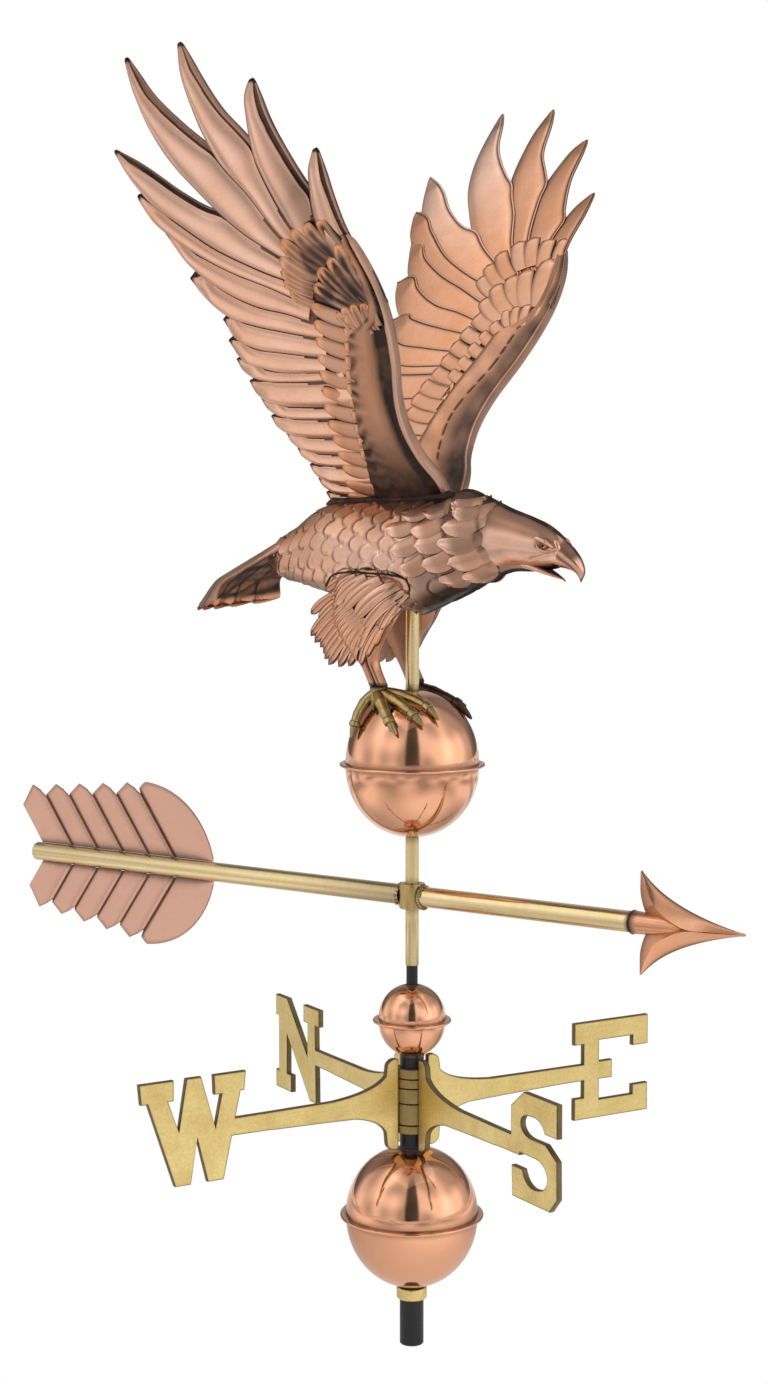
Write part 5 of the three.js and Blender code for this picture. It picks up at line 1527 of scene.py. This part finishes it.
# Each toe's path (forward, outward, height), and its radius at the foot and at the claw
TOES = [
    ([(*ANKLE, 514), (-19, 29, 510.5), (-23, 36, 502), (-25.2, 42, 489), (-26, 44.5, 480.5)], 5.2, 3.6),
    ([(*ANKLE, 514), (-8, 32, 510.5), (3, 41.5, 501.5), (12, 46.3, 492.5), (17.5, 47.3, 485.5)], 5.5, 3.9),
    ([(*ANKLE, 514), (-4, 28, 512), (13, 32, 505.8), (26, 33.5, 497.5), (32.8, 33.3, 491.5)], 5.4, 3.9),
    ([(*ANKLE, 514), (-2, 22.5, 513.6), (16, 20, 509.2), (30, 20.8, 503), (38.5, 21.4, 495.5)], 5.1, 3.7),
]


def build_foot(side, word, finish):
    """A cast foot: four toes with collars and claws, the ankle's stub and the webs between the toes"""
    foot = Forms(eagle_place)
    stretches = [(0, 0.70, 30), (0.715, 0.79, 8), (0.80, 1, 18)]
    share = np.concatenate([np.linspace(*stretch) for stretch in stretches])
    for path, wide, narrow in TOES:
        line = curve_through([(a, side * b, c) for a, b, c in path], share)
        radius = wide + (narrow - wide) * share / 0.7
        radius += 0.45 * hump(share, 0.34, 0.05) + 0.35 * hump(share, 0.56, 0.045)
        radius = np.where((share > 0.71) & (share < 0.795), narrow + 0.75, radius)
        claw = narrow * 0.80 * np.sqrt(np.clip((1.005 - share) / 0.205, 0, 1)) + 0.1
        radius = np.where(share >= 0.795, claw, radius)
        dark = np.where((np.abs(share - 0.71) < 0.008) | (np.abs(share - 0.80) < 0.008), 0.9, 0.05)
        foot.limb(line, radius, 22, flat=0.92, dark=dark, warm=np.where(share >= 0.8, 0.0, 0.35)[:, None])
    stub = [(ANKLE[0], side * ANKLE[1], z) for z in (518.6, 516.8, 514.5, 511.0, 508.0, 506.0)]
    foot.limb(stub, [6.9, 6.8, 6.9, 8.0, 8.4, 5.0], 28, dark=[1, 0.3, 0.1, 0.1, 0.2, 0.4], warm=0.3,
              beside=(1.0, 0.0, 0.0))
    for first, second in zip(TOES, TOES[1:]):
        middle = (np.array(first[0][:3]) + np.array(second[0][:3])) / 2
        web = curve_through([(a, side * b, c - 2.0) for a, b, c in middle], np.linspace(0, 0.85, 12))
        foot.limb(web, np.linspace(4.6, 1.2, 12), 16, flat=0.8, dark=np.linspace(0.1, 0.7, 12), warm=0.35)
    make_piece(word + "_talons", foot, finish, "vane", [word + "_foot"], crease=50)


# Stage

def emitting(n, kind, seen, mirrored, strength):
    """Light of one strength where it is mirrored or falls on a piece, and plain white where it is seen"""
    light = n.add(kind, {"Color": mirrored, "Strength": strength})
    plain = n.add(kind, {"Color": (1, 1, 1, 1), "Strength": 1.0})
    return n.add("ShaderNodeMixShader", {0: seen, 1: light.outputs[0], 2: plain.outputs[0]}).outputs[0]


def make_floor():
    """A pale floor that shines up into the copper in soft pools"""
    settings = bpy.context.scene.weathervane_finishes
    mesh = bpy.data.meshes.new("pale_floor")
    shape = bmesh.new()
    bmesh.ops.create_circle(shape, cap_ends=True, segments=96, radius=14.0)
    bmesh.ops.translate(shape, verts=shape.verts, vec=(0, 0, -0.0005))
    shape.to_mesh(mesh)
    shape.free()
    floor = bpy.data.objects.new("pale_floor", mesh)
    bpy.context.collection.objects.link(floor)
    material = bpy.data.materials.new("pale_floor")
    material.use_nodes = True
    material.node_tree.nodes.clear()
    n = Nodes(material.node_tree)
    seen = n.add("ShaderNodeLightPath").outputs["Is Camera Ray"]
    pools = n.noise(n.add("ShaderNodeTexCoord").outputs["Object"], 1.4, 0.0)
    glow = n.span(pools, 0.32, 0.68, settings.floor_glow * 0.62, settings.floor_glow * 1.45)
    lit = emitting(n, "ShaderNodeEmission", seen, (*settings.floor, 1), glow)
    n.add("ShaderNodeOutputMaterial", {"Surface": lit})
    mesh.materials.append(material)


# Brightness of the studio's panels, by how far round they stand: from 0 on the viewer's side to 1 behind
PANELS = [
    (0.0, 0.10), (0.055, 0.12), (0.085, 0.95), (0.28, 1.15), (0.37, 1.55), (0.46, 1.15), (0.56, 1.1),
    (0.66, 0.95), (0.74, 0.30), (0.90, 0.22), (1.0, 0.5),
]
BRIGHTEST_PANEL = 1.6


def make_studio():
    """Upright panels of soft, uneven light round the piece, with a dimmer ceiling and a lamp above"""
    glow = bpy.context.scene.weathervane_finishes.studio_glow
    world = bpy.data.worlds.new("soft_studio")
    bpy.context.scene.world = world
    world.use_nodes = True
    world.node_tree.nodes.clear()
    n = Nodes(world.node_tree)
    direction = n.add("ShaderNodeTexCoord").outputs["Generated"]
    turning = {"Vector": direction, "Angle": VIEW_TURN}
    turned = n.add("ShaderNodeVectorRotate", turning, rotation_type="Z_AXIS").outputs[0]
    across, away, up = n.add("ShaderNodeSeparateXYZ", {0: turned}).outputs
    turn = n.sum("DIVIDE", n.sum("ARCTAN2", across, n.sum("MULTIPLY", away, -1.0)), math.pi)
    ramp = n.add("ShaderNodeValToRGB", {0: n.sum("ABSOLUTE", turn, 0.0)})
    elements = ramp.color_ramp.elements
    while len(elements) < len(PANELS):
        elements.new(0.5)
    for element, (place, value) in zip(elements, PANELS):
        element.position = place
        element.color = (*[value / BRIGHTEST_PANEL] * 3, 1)
    left_to_right = n.span(turn, -0.15, 0.15, BRIGHTEST_PANEL, 0.98 * BRIGHTEST_PANEL)
    level = n.sum("MULTIPLY", ramp.outputs[0], left_to_right)
    top = n.span(up, 0.88, 0.99, 0.0, 1.0)
    level = n.sum("ADD", n.sum("MULTIPLY", level, n.sum("SUBTRACT", 1.0, top)), n.sum("MULTIPLY", top, 0.5))
    level = n.sum("MULTIPLY", level, n.span(n.noise(turned, 1.7, 0.0), 0.32, 0.68, glow * 0.7, glow * 1.5))
    seen = n.add("ShaderNodeLightPath").outputs["Is Camera Ray"]
    lit = emitting(n, "ShaderNodeBackground", seen, (1, 1, 1, 1), level)
    n.add("ShaderNodeOutputWorld", {"Surface": lit})
    lamp = bpy.data.lights.new("overhead", "AREA")
    lamp.size = 3.0
    lamp.energy = 6.0
    holder = bpy.data.objects.new("overhead", lamp)
    holder.location = (0.0, 0.0, 2.8)
    bpy.context.collection.objects.link(holder)


def make_camera():
    """The camera where the viewer stands"""
    focal_length_pixels, picture_height_pixels = 2371.0, 1384.0
    distance, eye_height, yaw, pitch = 1.8106, 0.6748, 0.012, 0.089
    camera = bpy.data.cameras.new("camera")
    camera.sensor_width = 36.0
    camera.lens = camera.sensor_width * focal_length_pixels / picture_height_pixels
    camera.clip_end = 60.0
    eye = bpy.data.objects.new("camera", camera)
    eye.location = (-math.sin(VIEW_TURN) * distance, -math.cos(VIEW_TURN) * distance, eye_height)
    eye.rotation_euler = (math.pi / 2 - pitch, 0, -(VIEW_TURN - yaw))
    bpy.context.collection.objects.link(eye)
    bpy.context.scene.camera = eye
    bpy.context.scene.view_settings.view_transform = "Standard"
    bpy.context.scene.view_settings.look = "None"


# Add-on: what a user would change

def length(name, description, default_mm, most_mm):
    """A length that a user can change"""
    return bpy.props.FloatProperty(name=name, description=description, default=default_mm * MM, min=0.0,
                                   max=most_mm * MM, subtype="DISTANCE", unit="LENGTH", precision=5)


def colour(name, description, default):
    """A colour that a user can change"""
    return bpy.props.FloatVectorProperty(name=name, description=description, default=default, min=0.0,
                                         max=1.0, size=3, subtype="COLOR")


class WeathervaneSizes(bpy.types.PropertyGroup):
    scale_lift: length("Scale lift", "How far the tip of a body scale stands off the one behind it", 2.4, 6)
    feather_thickness: length("Feather thickness", "Thickness of a wing feather", 1.9, 4)
    channel_depth: length("Channel depth", "Depth of the channel along a feather's leading side", 1.3, 3)
    feather_overlap: length("Feather overlap", "How much of a feather lies under the next one", 5.5, 10)
    casting_edge: length("Casting edge", "Width of the rounded edge of the compass castings", 0.55, 1.5)


class WeathervaneFinishes(bpy.types.PropertyGroup):
    pink_copper: colour("Pink copper", "Clean copper of the feathers' undersides", (0.78, 0.49, 0.37))
    warm_copper: colour("Warm copper", "Warmer copper of the upper sides", (0.72, 0.33, 0.17))
    globe_copper: colour("Globe copper", "Polished copper of the globes", (0.80, 0.43, 0.28))
    sheet_copper: colour("Sheet copper", "Matt copper of the fletching", (0.70, 0.40, 0.30))
    # Dark colour of the patina, also taken by the painted shade in laps, gaps and recesses
    darkening: colour("Patina", "Dark oxide in grooves and laps", (0.035, 0.022, 0.018))
    cast_brass: colour("Cast brass", "Brass of the compass castings", (0.93, 0.75, 0.33))
    deep_brass: colour("Deep brass", "Warmer, duller brass", (0.68, 0.48, 0.17))
    tube_brass: colour("Tube brass", "Drawn brass of the tubes", (0.75, 0.63, 0.40))
    aged_brass: colour("Aged brass", "Olive brass of the near foot", (0.40, 0.31, 0.15))
    # Darker brass for the foot on the eagle's left, as painted shade
    brown_brass: colour("Brown brass", "Brown brass of the far foot", (0.10, 0.06, 0.04))
    black_steel: colour("Black steel", "Satin black rod", (0.012, 0.012, 0.013))
    floor: colour("Floor", "Pale floor as the copper mirrors it", (1.0, 0.97, 0.95))
    floor_glow: bpy.props.FloatProperty(
        name="Floor glow", description="How bright the floor is in the copper", default=0.8, min=0.0,
        max=2.0)
    studio_glow: bpy.props.FloatProperty(
        name="Studio glow", description="How bright the studio's panels are", default=0.82, min=0.0,
        max=2.0)
    feather_roughness: bpy.props.FloatProperty(
        name="Feather roughness", description="How satin the feathered copper is", default=0.22, min=0.0,
        max=1.0, subtype="FACTOR")


class WEATHERVANE_OT_rod(bpy.types.Operator):
    """Make the steel rod with its pivot and the brass collar"""
    bl_idname = "weathervane.rod"
    bl_label = "Rod and collar"

    def execute(self, context):
        build_rod()
        build_collar()
        return {"FINISHED"}


class WEATHERVANE_OT_globes(bpy.types.Operator):
    """Make the three polished globes"""
    bl_idname = "weathervane.globes"
    bl_label = "Globes"

    def execute(self, context):
        for globe in GLOBES:
            build_globe(*globe)
        return {"FINISHED"}


class WEATHERVANE_OT_arms(bpy.types.Operator):
    """Make the four brass compass arms"""
    bl_idname = "weathervane.arms"
    bl_label = "Compass arms"

    def execute(self, context):
        for arm in ARMS:
            build_arm(*arm)
        return {"FINISHED"}


class WEATHERVANE_OT_arrow(bpy.types.Operator):
    """Make the arrow: its tubes, collar, fletching and barbed head"""
    bl_idname = "weathervane.arrow"
    bl_label = "Arrow"

    def execute(self, context):
        build_tubes()
        build_arrow_collar()
        build_fletching("upper_fletching", 1)
        build_fletching("lower_fletching", -1)
        build_arrow_head()
        return {"FINISHED"}


class WEATHERVANE_OT_body(bpy.types.Operator):
    """Make the scaled body with its head, beak and eyes"""
    bl_idname = "weathervane.body"
    bl_label = "Body and head"

    def execute(self, context):
        build_body()
        build_head()
        return {"FINISHED"}


class WEATHERVANE_OT_wings(bpy.types.Operator):
    """Make both wings from lapped feathers"""
    bl_idname = "weathervane.wings"
    bl_label = "Wings"

    def execute(self, context):
        build_wing(1, "left")
        build_wing(-1, "right")
        build_wing_seams()
        return {"FINISHED"}


class WEATHERVANE_OT_tail(bpy.types.Operator):
    """Make the fanned tail"""
    bl_idname = "weathervane.tail"
    bl_label = "Tail"

    def execute(self, context):
        build_tail()
        return {"FINISHED"}


class WEATHERVANE_OT_legs(bpy.types.Operator):
    """Make the feathered legs and the cast feet"""
    bl_idname = "weathervane.legs"
    bl_label = "Legs and feet"

    def execute(self, context):
        build_leg(1, "left")
        build_leg(-1, "right")
        # The left foot, away from the camera, takes the darker brass as painted shade
        build_foot(1, "left", "brown_brass")
        build_foot(-1, "right", "aged_brass")
        return {"FINISHED"}


class WEATHERVANE_OT_stage(bpy.types.Operator):
    """Make the floor, the light and the camera"""
    bl_idname = "weathervane.stage"
    bl_label = "Stage"

    def execute(self, context):
        make_floor()
        make_studio()
        make_camera()
        return {"FINISHED"}


OPERATORS = (
    WEATHERVANE_OT_rod, WEATHERVANE_OT_globes, WEATHERVANE_OT_arms, WEATHERVANE_OT_arrow,
    WEATHERVANE_OT_body, WEATHERVANE_OT_wings, WEATHERVANE_OT_tail, WEATHERVANE_OT_legs,
    WEATHERVANE_OT_stage,
)


class WEATHERVANE_PT_panel(bpy.types.Panel):
    """Lists the weathervane's pieces"""
    bl_idname = "WEATHERVANE_PT_panel"
    bl_label = "Eagle weathervane"
    bl_space_type = "VIEW_3D"
    bl_region_type = "UI"
    bl_category = "Weathervane"

    def draw(self, context):
        layout = self.layout
        for group in (context.scene.weathervane_sizes, context.scene.weathervane_finishes):
            column = layout.column()
            for key in group.bl_rna.properties.keys():
                if key not in {"rna_type", "name"}:
                    column.prop(group, key)
        for operator in OPERATORS:
            layout.operator(operator.bl_idname)


CLASSES = (WeathervaneSizes, WeathervaneFinishes, *OPERATORS, WEATHERVANE_PT_panel)


def register():
    """Registers the classes and the two groups of settings"""
    for cls in CLASSES:
        bpy.utils.register_class(cls)
    bpy.types.Scene.weathervane_sizes = bpy.props.PointerProperty(type=WeathervaneSizes)
    bpy.types.Scene.weathervane_finishes = bpy.props.PointerProperty(type=WeathervaneFinishes)


def unregister():
    """Takes the groups of settings and the classes away again"""
    del bpy.types.Scene.weathervane_finishes
    del bpy.types.Scene.weathervane_sizes
    for cls in reversed(CLASSES):
        bpy.utils.unregister_class(cls)


def main():
    """Makes every piece and the stage"""
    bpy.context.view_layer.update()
    register()
    bpy.ops.weathervane.rod()
    bpy.ops.weathervane.globes()
    bpy.ops.weathervane.arms()
    bpy.ops.weathervane.arrow()
    bpy.ops.weathervane.body()
    bpy.ops.weathervane.wings()
    bpy.ops.weathervane.tail()
    bpy.ops.weathervane.legs()
    bpy.ops.weathervane.stage()


if __name__ == "__main__":
    main()
